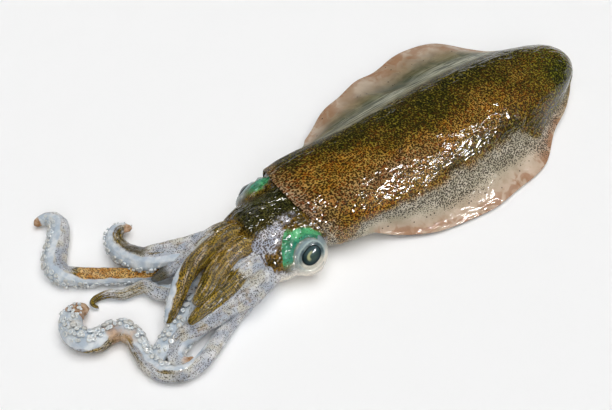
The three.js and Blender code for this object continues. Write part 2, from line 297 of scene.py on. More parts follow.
def mantle_sizes(x, shrink):
    """Half width, height and belly lift of the mantle at x, thinned all round by shrink."""
    share = x / MANTLE_LENGTH
    half = MANTLE_HALF_WIDTH * smooth(WIDTH_SHARE, share) - shrink
    top = MANTLE_HEIGHT * smooth(HEIGHT_SHARE, share) - shrink
    return half, top, smooth(BELLY_LIFT, share) + shrink


def around_ring(points, middle):
    """Signed distance along each ring from its first point, both ways round to the middle point."""
    gaps = np.linalg.norm(points - np.roll(points, 1, axis=1), axis=-1)
    ahead = np.cumsum(gaps, axis=1) - gaps[:, :1]
    whole = gaps.sum(1, keepdims=True)
    return np.where(np.arange(points.shape[1])[None] <= middle, ahead, ahead - whole)


def bezier(p0, p1, p2, p3, t):
    """Cubic Bezier curve through arrays of planar points."""
    return (1 - t) ** 3 * p0 + 3 * t * (1 - t) ** 2 * p1 + 3 * t * t * (1 - t) * p2 + t ** 3 * p3


def fin_strength(fin, x):
    """How far the fin stands out at x: 0 where there is none, 1 where it is whole."""
    return step(0, fin["fade"], x - fin["reach"][0][0]) * step(0, 9, fin["reach"][-1][0] - x)


def side_outline(fin, x, sizes, counts):
    """Half of the skin's section, from the middle of the back over the fin to the belly.

    The back follows the mantle's section to the fin's root. The fin's top is a Bezier curve that
    leaves the mantle along its surface and ends at the fin's edge. Its underside is the same curve
    moved inwards by the fin's thickness and led back to the flank. Where there is no fin, every
    point slides back onto the mantle's own section.
    """
    half, top, bottom = sizes
    root, under = math.radians(fin["root"]), math.radians(fin["under"])

    def on_mantle(angle):
        """Point of the mantle's section at an angle."""
        y, z = section(half, top, bottom, angle)
        return np.stack([y, z], axis=-1)

    back, blade, rim, below, belly = counts
    fins = fin_strength(fin, x)[..., None]
    start = on_mantle(root)
    ahead = unit(on_mantle(root - 0.06) - start)
    reach = np.maximum(smooth(fin["reach"], x), half * 0.9)
    edge = np.stack([reach, np.minimum(smooth(fin["height"], x), start[..., 1])], axis=-1)
    length = np.linalg.norm(edge - start, axis=-1, keepdims=True)
    level = unit(np.array([-1.0, fin["slope"]]))
    t_top = np.linspace(0, 1, blade)[None, :, None]
    corners = (start, start + ahead * length * 0.36, edge + level * length * 0.34, edge)
    corners = tuple(c[:, :1] for c in corners)
    over = bezier(*corners, t_top)
    t_low = np.linspace(1, 0.16, below)[None, :, None]
    line = bezier(*corners, t_low)
    tangent = unit(bezier(*corners, np.minimum(t_low + 0.01, 1.01)) - bezier(*corners, t_low - 0.01))
    inward = np.stack([-np.abs(tangent[..., 1]), -tangent[..., 0]], axis=-1)
    thick = 1.3 + (fin["thick"] - 1.3) * (1 - t_low)
    underside = line + inward * thick
    underside[..., 1] = np.maximum(underside[..., 1], GROUND)
    home = step(0.7, 1, np.linspace(0, 1, below))[None, :, None]
    underside = underside * (1 - home) + on_mantle(np.full((1, 1), under)) * home
    turn = np.linspace(0, math.pi, rim + 2)[1:-1][None, :, None]
    tip = (over[:, -1:] + underside[:, :1]) / 2
    outward = np.concatenate([np.sin(turn) * 0.7, np.zeros_like(turn)], axis=-1)
    bead = tip + (over[:, -1:] - tip) * np.cos(turn) + outward

    half_way = (root + under) / 2
    arc_top = on_mantle(np.linspace(root, half_way, blade)[None])
    arc_rim = on_mantle(np.full((1, rim), half_way))
    arc_low = on_mantle(np.linspace(half_way, under, below)[None])
    fins = fins[:, :1]
    return np.concatenate([
        on_mantle(np.linspace(math.pi / 2, root, back, endpoint=False)[None]),
        arc_top * (1 - fins) + over * fins,
        arc_rim * (1 - fins) + bead * fins,
        arc_low * (1 - fins) + underside * fins,
        on_mantle(np.linspace(under, -math.pi / 2, belly + 1)[None, 1:]),
    ], axis=1)


def skin_rows():
    """Place and thinning of each ring: from the mouth's floor, round the lip and on to the tail."""
    inside = np.linspace(MOUTH_DEPTH, LIP_DEPTH, 8)
    turn = np.linspace(0, math.pi, 9)[1:-1]
    lip = LIP_DEPTH - LIP_ROUND * np.sin(turn)
    outside = np.linspace(LIP_DEPTH, TAIL_START, 214)
    tail = MANTLE_LENGTH - (MANTLE_LENGTH - TAIL_START) * (1 - np.linspace(0, 1, 15)[1:]) ** 2
    x = np.concatenate([inside, lip, outside, tail])
    wall = LIP_SINK + LIP_WALL
    shrink = np.concatenate([
        wall + (MOUTH_WALL - wall) * step(LIP_DEPTH, MOUTH_DEPTH, inside),
        LIP_SINK + (wall - LIP_SINK) * 0.5 * (1 + np.cos(turn)),
        LIP_SINK * (1 - step(0, 15, outside)) ** 1.5,
        np.zeros(len(tail)),
    ])
    return x, shrink


def whole_ring(side):
    """One side's values, from the back to the belly, carried on round the other side."""
    return np.concatenate([side, side[-2:0:-1]])[None]


def body_skin():
    """The mantle and both fins as one closed skin, with masks for its finish."""
    x, shrink = (values[:, None] for values in skin_rows())
    sizes = mantle_sizes(x, shrink)
    counts = (62, 66, 4, 30, 34)
    back, blade, rim, below, belly = counts
    left, right = (side_outline(fin, x, sizes, counts) for fin in FINS)
    blade_share = np.concatenate([
        np.zeros(back), np.linspace(0, 1, blade), np.ones(rim), np.linspace(1, 0, below), np.zeros(belly)])
    lower = np.concatenate([np.zeros(back + blade), np.ones(rim + below + belly)])
    ring_y = np.concatenate([right[..., 0], -left[:, -2:0:-1, 0]], axis=1)
    ring_z = np.concatenate([right[..., 1], left[:, -2:0:-1, 1]], axis=1)
    fin_t, under = whole_ring(blade_share), whole_ring(lower)
    side = np.concatenate([np.ones(len(blade_share)), -np.ones(len(blade_share) - 2)])[None]
    rise = np.clip(ring_z / MANTLE_HEIGHT, 0, 1)
    lobe = LOBE * np.clip(1 - x / LOBE_LENGTH, 0, 1) ** 2
    facing = np.clip((ring_z - 0.45 * sizes[1]) / (0.55 * sizes[1]), 0, 1) ** 2
    tuck = 2.5 * (1 - step(5, 55, x)) * step(0.2, 0.9, -ring_y / sizes[0])
    points = np.stack([x - lobe * facing, ring_y + axis_offset(x) + tuck, ring_z], axis=-1)
    points = soften_skin(points, fin_t, side, under, x, shrink)
    masks = skin_masks(points, fin_t, side, under, x, shrink, rise)
    masks["girth"] = around_ring(points, len(blade_share) - 1)
    masks["run"] = np.where(shrink > LIP_SINK, -x, x)
    return grid_piece("mantle_and_fins", points, masks)


def soften_skin(points, fin_t, side, under, x, shrink):
    """Small relief: slow dents over the body, waves at the fins' edges and fine lengthwise creases."""
    moved = points.copy()
    outer = step(2, 14, x) * (shrink <= LIP_SINK)
    firm = 1 - step(0.02, 0.2, fin_t)
    above = np.clip(points[..., 2] / 12, 0, 1)
    dents = 0.55 * noise(points * [0.7, 1, 1], 19, 3) + 0.22 * noise(points * [0.6, 1, 1], 7, 4)
    moved[..., 2] += outer * firm * above * dents * (1 - under)
    creases = noise(points * [0.16, 1, 1], 2.2, 5)
    moved[..., 2] += outer * (0.1 * firm + 0.22 * hump(0.22, 0.2, fin_t)) * creases * (1 - under) * above
    for fin in FINS:
        own = (side == fin["side"]) * fin_strength(fin, x) * step(0.25, 1, fin_t)
        wave = 1.5 * np.sin(x / 13.5 + fin["side"]) + 0.9 * np.sin(x / 6.1 + 2 * fin["side"])
        room = np.clip((points[..., 2] - 2) / 8, 0, 1)
        moved[..., 2] += own * wave * room
        moved[..., 1] += own * fin["side"] * 0.5 * np.sin(x / 8.3)
    moved[..., 2] -= 3.2 * fin_hollow(points, fin_t, side, x)
    ridge = hump(108, 7, x + 40 * (fin_t - 0.5)) * hump(0.6, 0.2, fin_t) * (side > 0)
    moved[..., 2] += 1.6 * ridge * (1 - under)
    moved[..., 2] = np.maximum(moved[..., 2], 0)
    return moved


def fin_hollow(points, fin_t, side, x):
    """A shallow hollow across the middle of the right fin, also the mask of the painted shade in it."""
    slant = x + 40 * (fin_t - 0.5)
    return hump(128, 13, slant + 3 * noise(points, 9, 14)) * hump(0.5, 0.22, fin_t) * (side > 0)


def blob(x, y, centre, size):
    """Soft oval spot of height 1 on the plane of x and y."""
    return np.exp(-((x - centre[0]) / size[0]) ** 2 - ((y - centre[1]) / size[1]) ** 2)


def skin_masks(points, fin_t, side, under, x, shrink, rise):
    """Masks of the skin from 0 to 1: its pigment, darkness and spots, the fins' thinness and patches;
    among them are painted shade and painted sheen.
    """
    y = points[..., 1] - axis_offset(x)
    fins = np.where(side < 0, fin_strength(FINS[0], x), fin_strength(FINS[1], x))
    blade = fin_t * fins
    slow, fine = noise(points, 15, 11), noise(points, 5, 12)
    ragged = slow * 0.6 + fine * 0.4
    # the pigment stops at the near fin's root, a little short of the far fin's, and wraps the tail
    near_edge = 0.13 + 0.47 * step(164, 188, x)
    near = 1 - step(-0.22, 0.28, blade - near_edge + 0.1 * ragged)
    far_edge = smooth(FAR_PIGMENT_EDGE, x)
    far = 1 - step(-3, 3, y - far_edge + 2.2 * ragged)
    brown = np.where(side < 0, near, far) * (1 - under * fins)
    brown = brown * step(0.08, 0.3, rise + 0.07 * ragged + step(200, 250, x) * 0.5)
    pale_corner = 0.85 * blob(x, y, (0, -39), (10, 8)) * (1 + 0.5 * fine)
    brown = brown * (shrink < LIP_SINK + 1.4) * (1 - pale_corner)
    band = blob(x, y, (114, 1), (32, 14)) + 0.4 * blob(x, y, (66, 2), (28, 12))
    band = band + 0.5 * blob(x, y, (172, 6), (26, 14))
    edge_band = 0.7 * blob(x, y, (140, -36), (62, 7)) + 0.7 * blob(x, y, (232, -16), (20, 12))
    # painted shade: the back's far side, away from the light, is darkened to olive with larger spots
    far_side_shade = 0.9 * step(0, 24, y) * step(-20, 24, x) * (1 - 0.4 * step(150, 200, x))
    rear = 0.34 * step(135, 190, x)
    dark = np.clip((band + edge_band + far_side_shade + rear) * (1 + 0.4 * slow) + 0.16 * fine, 0, 1)
    near_spots = 1 - 0.94 * step(0.22, 0.7, blade - near_edge + 0.15 * slow)
    spotted = np.where(side < 0, near_spots, 0.05 + 0.95 * far)
    margin = step(0.62, 0.95, blade + 0.12 * slow)
    # muscle striations along the far fin's root, drawn lighter there as a painted sheen
    root_sheen_band = hump(0.2, 0.2, blade) * (side > 0) * fins * (1 - far)
    # pinkish lilac at the mantle's front edge, and a painted lilac sheen in a strip along the near
    # shoulder
    lilac_and_sheen = 1.6 * blob(x, y, (-3, -10), (9, 26)) + 0.7 * blob(x, y, (56, -22), (42, 7))
    lilac_and_sheen = lilac_and_sheen + 1.3 * blob(x, y, (0, 26), (9, 8)) * (1 + slow)
    wrinkled = hump(-27, 11, y) * step(14, 40, x) * (1 - step(158, 182, x))
    wrinkled = wrinkled + 1.2 * blob(x, y, (0, -10), (12, 22))
    return {
        "brown": brown, "dark": dark, "spotted": spotted * (1 - 0.9 * under * fins), "margin": margin,
        "root_sheen_band": root_sheen_band, "rim": step(200, 250, x) * (1 - under), "thin": blade * (1 - 0.3 * under),
        "far": step(-0.5, 0.5, side), "hollow": fin_hollow(points, fin_t, side, x),
        "turned": step(12, 36, y) * (1 - blade), "tail": step(178, 226, x) * brown,
        "lilac_and_sheen": np.clip(lilac_and_sheen, 0, 1), "wrinkled": np.clip(wrinkled, 0, 1),
    }


# ---- head ----

def eye_axis(side):
    """Direction in which an eye looks: outwards and a little forwards, the near one more upwards."""
    return unit(np.array([-0.16, side * 0.72, 0.62 if side < 0 else 0.3]))


def eye_centre(side):
    """Middle of an eye's ball: side is -1 for the left eye and 1 for the right."""
    return np.array([EYE_CENTRE[0], side * EYE_CENTRE[1] + HEAD_OFFSET, EYE_CENTRE[2]])


def blend_max(a, b, width):
    """The larger of two values, rounded where they are within width of each other."""
    h = np.clip(0.5 + 0.5 * (a - b) / width, 0, 1)
    return a * h + b * (1 - h) + width * h * (1 - h)


def head_skin():
    """The head and the web between the arms' bases: slumped sections, swollen over the eyes.

    Every point lies on a ray from the head's axis. Its distance is the section's own, or where the
    ray leaves the ball around an eye if that is further out, with a rounded join. In front of each
    eye's ball the skin sinks just inside it, which leaves the eye open.
    """
    rows = np.linspace(NECK_END, WEB_FRONT + 1, 226)
    cap = np.linspace(0.1, 1.5, 10)
    x = np.concatenate([rows, WEB_FRONT + 1 - 2 * np.sin(cap)])[:, None]
    angle = np.linspace(0, 2 * math.pi, 240, endpoint=False)[None]
    half = HEAD_HALF_WIDTH * smooth(HEAD_WIDTH, x)
    top = HEAD_HEIGHT * smooth(HEAD_TOP, x)
    bottom = smooth(HEAD_LIFT, x)
    close = np.concatenate([np.ones(len(rows)), np.cos(cap) ** 0.5])[:, None]
    crown, chin = (top - HEAD_CORE) * close + HEAD_CORE, HEAD_CORE - (HEAD_CORE - bottom) * close
    y, z = section(half * close, crown, chin, angle)
    y = np.where(y < 0, y * (1 + 0.16 * hump(-35, 13, x)), y)
    reach = np.hypot(y, z - HEAD_CORE)
    ray_y, ray_z = y / np.maximum(reach, 1e-6), (z - HEAD_CORE) / np.maximum(reach, 1e-6)
    for side in (-1, 1):
        eye_x, eye_y, eye_z = eye_centre(side) - [0, HEAD_OFFSET, HEAD_CORE]
        along = eye_y * ray_y + eye_z * ray_z
        gap = (x - eye_x) ** 2 + eye_y ** 2 + eye_z ** 2 - along ** 2
        inside = np.clip((EYE_RADIUS + 0.7) ** 2 - gap, 0, None)
        ball = np.where(along > 0, along + np.sqrt(inside), 0)
        reach = blend_max(reach, np.where(inside > 0, ball, 0), 3.0)
    middle = HEAD_OFFSET - 7 * step(HEAD_FRONT, WEB_FRONT, x) + 8 * step(-16, 3, x)
    points = np.stack(np.broadcast_arrays(x, ray_y * reach + middle, ray_z * reach + HEAD_CORE), axis=-1)
    relief = 0.35 * noise(points, 6, 21) + 0.16 * noise(points * [0.5, 1, 1], 2.4, 22)
    ridges = 0.5 * np.sin(points[..., 1] * 1.1 + 0.9 * noise(points, 9, 26)) * step(-28, -48, x)
    ridges = ridges * step(0.4, 0.8, points[..., 2] / HEAD_HEIGHT)
    lift = (relief + ridges) * step(3, 9, points[..., 2]) * step(5, -2, x)
    points = points + lift[..., None] * np.stack([np.zeros_like(ray_y), ray_y, ray_z], axis=-1)
    masks = {"green": 0.0, "teal": 0.0, "clear": 0.0}
    for side in (-1, 1):
        offset = points - eye_centre(side)
        radial = unit(offset)
        look = eye_axis(side)
        near = np.degrees(np.arccos(np.clip(radial @ look, -1, 1)))
        away = np.linalg.norm(offset, axis=-1)
        hole = ((1 - step(38, 42, near)) * (away < EYE_RADIUS + 4))[..., None]
        sunk = eye_centre(side) + radial * (EYE_RADIUS - 1.2)
        points = points * (1 - hole) + sunk * hole
        up = unit(np.cross(np.cross(look, [0, 0, 1.0]), look))
        round_eye = unit(radial - (radial @ look)[..., None] * look) @ up
        close_by = away < EYE_RADIUS + 8
        band = step(43, 48, near) * (1 - step(62, 88, near + 8 * noise(points, 5, 23)))
        sweep = round_eye - 0.5 * step(-0.2, 0.5, radial[..., 0])
        if side > 0:
            sweep = sweep - step(4, -4, offset[..., 0])
        masks["green"] = masks["green"] + band * step(-0.5, 0.25, sweep) * close_by
        masks["teal"] = masks["teal"] + (1 - step(46, 66, near)) * close_by
        reach_out = 52 + 24 * step(0.2, -0.5, round_eye) + 18 * (side > 0)
        masks["clear"] = masks["clear"] + (1 - step(43, reach_out, near)) * close_by
    masks.update(head_masks(points, x))
    return grid_piece("head_skin", points, masks)


def head_masks(points, x):
    """Where the head's skin is brown, dark or pale, and its place on the flat chart."""
    slow, fine = noise(points, 12, 24), noise(points, 4, 25)
    y = points[..., 1] - HEAD_OFFSET
    height = points[..., 2] / HEAD_HEIGHT
    brown = step(0.36, 0.62, height + 0.1 * slow + 0.06 * fine + 0.1 * step(HEAD_FRONT, WEB_FRONT, x))
    bare = blob(x, y, (-35, -14), (11, 7)) + blob(x, y, (-52, -18), (14, 7))
    bare = bare + 0.9 * blob(x, y, (-18, -8), (8, 5))
    dark = hump(7, 19, y) * step(-54, -36, x) * (1.05 + 0.4 * slow)
    # the chart starts at the crown, a quarter of the way round the ring
    quarter = points.shape[1] // 4
    girth = around_ring(np.roll(points, -quarter, axis=1), 2 * quarter)
    return {
        "brown": np.clip(brown - 1.15 * bare * (0.9 + 0.6 * slow + 0.5 * fine), 0, 1),
        "dark": np.clip(dark, 0, 1), "pale": 1 - step(0.3, 0.6, height + 0.05 * slow),
        "girth": np.roll(girth, quarter, axis=1), "run": x,
    }


def eyeball(side):
    """An eye as a ball of rings around the line it looks along: lens, pupil rim, iris and white."""
    rings = np.concatenate([np.linspace(0.5, 60, 100), np.linspace(64, 179, 34)])[:, None]
    turn = np.linspace(0, 2 * math.pi, 112, endpoint=False)[None]
    look = eye_axis(side)
    across = unit(np.cross(look, [0, 0, 1.0]))
    over = np.cross(across, look)
    # the pupil is an oval that leans forwards at its foot
    oval = 0.95 + 0.13 * np.cos(2 * turn + 1.15)
    lens = 0.55 * (1 - step(0, 24, rings / oval))
    groove = -0.55 * hump(28.5, 2.2, rings / oval)
    iris = 0.3 * hump(34, 4, rings / oval)
    radius = EYE_RADIUS - 0.1 + lens + groove + iris - 2.4 * step(70, 110, rings)
    polar = np.radians(rings)
    points = eye_centre(side) + radius[..., None] * (
        np.cos(polar)[..., None] * look
        + (np.sin(polar) * np.cos(turn))[..., None] * across
        + (np.sin(polar) * np.sin(turn))[..., None] * over)
    masks = {
        "pupil": 1 - step(26.5, 29, rings / oval), "polar": rings / oval / 60,
        "sky": 0.5 + 0.5 * np.sin(turn), "aside": 0.5 + 0.5 * np.cos(turn),
    }
    name = "eyeball_left" if side < 0 else "eyeball_right"
    return grid_piece(name, points, masks)


def funnel_tube():
    """The funnel: a soft flattened tube that narrows forwards, with a rounded open mouth."""
    turn = np.linspace(0, 2 * math.pi, 72, endpoint=False)[None]
    mouth = np.linspace(0, math.pi, 8)[:, None]
    front, back, wall = -27, -0.8, 2.0
    inner_x = np.linspace(front + 6, front, 6)[:, None]
    outer_x = np.linspace(front, back, 40)[:, None]
    x = np.concatenate([inner_x, front - 0.9 * np.sin(mouth), outer_x])
    lip = wall * 0.5 * (1 + np.cos(mouth))
    thin = np.concatenate([np.full_like(inner_x, wall), lip, np.zeros_like(outer_x)])
    t = np.clip((-0.6 - x) / 27.4, 0, 1)
    half = 13 - 6 * t - thin
    tall = (13 - 5 * t) / 2 + 0.4 - thin
    height = 1 + (13 - 5 * t) / 2 + np.maximum(tall, 0.6) * np.sin(turn)
    points = np.stack(np.broadcast_arrays(x, half * np.cos(turn), height), axis=-1)
    points[..., 2] += 0.2 * noise(points, 4, 31)
    masks = {"skin": 0.8, "gold": 0.0, "shade": 0.0, "tan": 0.0, "speck": 0.5, "patch": 0.5, "beside": 0.5,
             "facing": 0.0, "along": 0.0, "run": x, "girth": turn * 8}
    return grid_piece("funnel_tube", points, masks)


# ---- arms and tentacles ----

# Each limb: route of its centre line (mm), half width at places along it (mm), thickness as a share
# of the width, turn of its sucker side around the route (degrees: 0 faces its right, 90 up, 180 its
# left, -90 down), how golden, speckled, tan and shaded its skin is, the height of its lengthwise
# ribs and of the keel along its outer side as shares of the width, and its suckers: where the rows
# start and end, how many there are in a row, how many rows, and their size (mm).
LIMBS = {
    "arm_right_1": {
        "route": ((-36, 8, 19), (-46, 9, 24), (-56, 9, 27), (-66, 7.5, 28.5), (-76, 6, 28),
                  (-89, 4, 25), (-99, 0, 22), (-107, -5, 18), (-114, -10, 15), (-121, -15, 12)),
        "width": ((0, 8), (0.3, 7.2), (0.7, 6), (0.9, 4.5), (1, 2)),
        "roll": ((0, -90), (0.5, -60), (0.75, -5), (1, 0)),
        "thick": 1.0, "gold": 1.0, "speck": 0.6, "ribs": 0.09, "keel": 0.12,
        "suckers": (0.5, 0.98, 17, 2, 1.9)},
    "arm_left_1": {
        "route": ((-36, -5, 19), (-46, -4.5, 24.5), (-56, -4.5, 28), (-67, -7, 29.5), (-82, -13, 29),
                  (-93, -19, 27), (-103, -22, 24.5)),
        "width": ((0, 8), (0.3, 7.5), (0.7, 6.5), (0.9, 5), (1, 2.5)),
        "roll": ((0, -90), (1, -90)),
        "thick": 1.0, "gold": ((0, 1.0), (0.7, 1.0), (0.9, 0.8), (1, 0.5)), "speck": 0.6, "ribs": 0.1,
        "keel": 0.12, "suckers": (0.45, 0.98, 10, 2, 1.8)},
    "arm_left_2": {
        "route": ((-36, -14, 15), (-46, -15.5, 19.5), (-56, -17.5, 22.5), (-66, -19.5, 23.5),
                  (-78, -23, 22.5), (-90, -25, 21.5), (-102, -27, 20.5), (-112, -29, 19)),
        "width": ((0, 8), (0.3, 7.2), (0.7, 6), (0.9, 4.2), (1, 2)),
        "roll": ((0, -90), (1, -100)),
        "thick": 0.95, "gold": ((0, 0.05), (0.36, 0.15), (0.5, 0.85), (1, 0.9)), "speck": 0.8,
        "ribs": 0.09, "keel": 0.1, "suckers": (0.45, 0.98, 11, 2, 1.8)},
    "arm_right_2": {
        "route": ((-36, 16, 15), (-46, 17, 20), (-57, 18, 23), (-69, 18, 22.5), (-81, 18, 19),
                  (-92, 18, 15), (-102, 20, 11), (-109, 22, 8.5)),
        "width": ((0, 8), (0.3, 7), (0.7, 5.4), (0.9, 4), (1, 1.8)),
        "roll": ((0, -90), (1, -80)),
        "thick": 0.9, "gold": ((0, 0.9), (0.45, 0.5), (0.62, 0.2), (0.8, 0.3), (1, 0.2)), "speck": 0.9,
        "shade": ((0, 0), (0.72, 0), (0.86, 0.75), (1, 0.7)), "ribs": 0.07, "keel": 0.1,
        "suckers": (0.45, 0.98, 11, 2, 1.8)},
    "arm_left_3": {
        "route": ((-38, -20, 13), (-54, -25, 14.5), (-66, -28, 15), (-80, -28, 14), (-95, -28, 12.5),
                  (-110, -29, 10), (-121, -31, 7.5), (-128, -37, 6), (-125, -43, 5), (-119, -43, 4)),
        "width": ((0, 9), (0.2, 10), (0.5, 8.6), (0.75, 6.6), (0.9, 5), (1, 2)),
        "roll": ((0, -75), (0.6, -80), (0.78, -150), (1, -190)),
        "thick": 0.85, "gold": 0.1, "speck": 1.1, "tan": ((0, 0), (0.85, 0), (0.95, 0.5), (1, 0.6)),
        "ribs": 0.05, "keel": 0.22, "suckers": (0.3, 0.99, 22, 2, 3.0)},
    "arm_right_3": {
        "route": ((-38, 20, 14), (-56, 20, 16), (-68, 21, 17), (-80, 23.5, 17), (-94, 28, 16.5),
                  (-106, 35, 14.5), (-112, 46, 12), (-114, 57, 10), (-112, 67, 9), (-106, 73, 8),
                  (-100, 73, 7.5), (-95, 69, 7)),
        "width": ((0, 8), (0.25, 8), (0.45, 8.5), (0.7, 7.5), (0.85, 6), (0.95, 4), (1, 1.8)),
        "roll": ((0, -90), (0.2, -125), (0.45, -150), (0.6, -175), (1, -190)),
        "thick": 0.8, "gold": ((0, 0.6), (0.15, 0.7), (0.25, 0.1), (0.5, 0.15), (0.7, 0.4), (1, 0.4)),
        "speck": 1.1, "tan": ((0, 0), (0.9, 0), (1, 0.9)),
        "shade": ((0, 0), (0.45, 0), (0.6, 0.7), (0.8, 0.3), (1, 0)), "ribs": 0.04, "keel": 0.25,
        "suckers": (0.3, 0.98, 26, 2, 3.0)},
    "arm_left_4": {
        "route": ((-38, -8, 8), (-60, -10, 6.5), (-80, -11, 6.5), (-100, -12, 6.5), (-115, -18, 6.5),
                  (-126, -24, 6.5), (-134, -28, 6.5), (-139, -33, 5)),
        "width": ((0, 7), (0.5, 7), (0.8, 7), (0.93, 6), (1, 3)),
        "roll": ((0, 90), (1, 90)),
        "thick": 0.85, "gold": 0.05, "speck": 0.5, "keel": 0.1, "suckers": (0.4, 0.98, 18, 3, 3.4)},
    "arm_right_4": {
        "route": ((-38, 8, 8), (-60, 8, 6.5), (-78, 6, 6.5), (-92, 3, 6.5), (-102, 6, 6.5),
                  (-110, 13, 6), (-114, 22, 6), (-122, 25, 5), (-129, 27, 4), (-135, 32, 4),
                  (-141, 35, 3), (-147, 35, 2.6), (-149, 32, 2.4), (-147, 28, 2.2)),
        "width": ((0, 7), (0.4, 6.6), (0.6, 5.4), (0.75, 4), (0.9, 2.7), (1, 1.4)),
        "roll": ((0, 90), (0.45, 30), (0.6, -40), (1, -60)),
        "thick": 0.85, "gold": ((0, 0.1), (0.6, 0.15), (0.8, 0.5), (1, 0.9)), "speck": 1.0,
        "keel": 0.15, "suckers": (0.45, 0.97, 20, 2, 2.0)},
    "tentacle_left": {
        "route": ((-40, -20, 5), (-58, -27, 5), (-72, -31, 5), (-84, -35, 5), (-95, -40, 5.5),
                  (-106, -45, 5.5), (-117, -49, 6), (-130, -49, 6), (-140, -42, 6), (-144, -31, 6),
                  (-143, -19, 6), (-142, -8, 7), (-146, 1, 8), (-155, 3, 8), (-163, 3, 8), (-170, 8, 9),
                  (-172, 17, 9), (-168, 27, 8), (-160, 31, 7), (-153, 29, 6)),
        "width": ((0, 5), (0.3, 5.2), (0.5, 5.8), (0.62, 6.2), (0.75, 7.2), (0.85, 8), (0.95, 7),
                  (1, 3)),
        "roll": ((0, -90), (0.25, -70), (0.45, 10), (0.6, 30), (0.75, 50), (0.84, 90), (1, 90)),
        "thick": 0.85, "gold": ((0, 0.1), (0.5, 0.2), (0.62, 0.4), (0.75, 0.6), (0.8, 0.4), (1, 0)),
        "speck": 0.9,
        "tan": ((0, 0), (0.55, 0.1), (0.66, 0.45), (0.74, 0.5), (0.8, 0), (0.92, 0), (0.95, 0.9), (1, 1)),
        "shade": ((0, 0), (0.4, 0), (0.46, 0.55), (0.52, 0), (1, 0)), "ribs": 0.03, "keel": 0.15,
        "suckers": (0.5, 0.97, 40, 4, 3.6)},
    "tentacle_right": {
        "route": ((-40, 20, 5), (-65, 24, 5), (-85, 24, 5), (-100, 27, 5), (-117, 36, 5.5),
                  (-134, 47, 6), (-147, 56, 6), (-154, 64, 6), (-154, 74, 7), (-147, 84, 7),
                  (-139, 94, 7), (-134, 103, 7), (-136, 111, 6), (-141, 114, 5), (-147, 114, 4.5)),
        "width": ((0, 4.6), (0.35, 5), (0.55, 6), (0.68, 7.5), (0.85, 7), (0.93, 5.5), (1, 2.4)),
        "roll": ((0, -90), (0.25, -112), (0.42, -124), (0.56, -138), (0.66, -185), (1, -205)),
        "thick": 0.95, "gold": ((0, 0.4), (0.2, 1.2), (0.58, 1.3), (0.63, 0.2), (0.9, 0.1), (1, 0.6)),
        "speck": 0.9, "tan": ((0, 0), (0.96, 0), (0.985, 0.8), (1, 1)), "ribs": 0.03, "keel": 0.12,
        "suckers": (0.38, 0.96, 38, 4, 3.2)},
}


def route_curve(points, count):
    """Even points along a smooth curve through the route: a Catmull-Rom cubic resampled by length."""
    knots = np.array(points, float)
    knots = np.vstack([2 * knots[0] - knots[1], knots, 2 * knots[-1] - knots[-2]])
    t = np.linspace(0, 1, 40, endpoint=False)[None, :, None]
    a, b, c, d = (knots[k:len(knots) - 3 + k][:, None] for k in range(4))
    line = 0.5 * (2 * b + (c - a) * t + (2 * a - 5 * b + 4 * c - d) * t ** 2
                  + (3 * b - a - 3 * c + d) * t ** 3)
    line = np.vstack([line.reshape(-1, 3), knots[-2]])
    run = np.concatenate([[0], np.cumsum(np.linalg.norm(np.diff(line, axis=0), axis=1))])
    even = np.linspace(0, run[-1], count)
    centre = np.stack([np.interp(even, run, line[:, k]) for k in range(3)], axis=-1)
    ahead = unit(np.gradient(centre, axis=0))
    return centre, ahead, run[-1]


def limb_frame(limb, count):
    """Centre line with the directions across it, over it and towards its suckers."""
    centre, ahead, length = route_curve(limb["route"], count)
    right = unit(np.cross(ahead, [0, 0, 1.0]))
    over = np.cross(right, ahead)
    roll = np.radians(smooth(limb["roll"], np.linspace(0, 1, count)))[:, None]
    towards = right * np.cos(roll) + over * np.sin(roll)
    beside = np.cross(ahead, towards)
    return centre, ahead, right, over, towards, beside, length


def widest(limb):
    """A limb's largest half width."""
    return max(width for _, width in limb["width"])


def profile(limb, name, t):
    """A limb's amount of something along its length, given as one number or as (place, amount) pairs."""
    given = limb.get(name, 0.0)
    pairs = ((0, given), (1, given)) if isinstance(given, (int, float)) else given
    return smooth(pairs, t)[:, None]


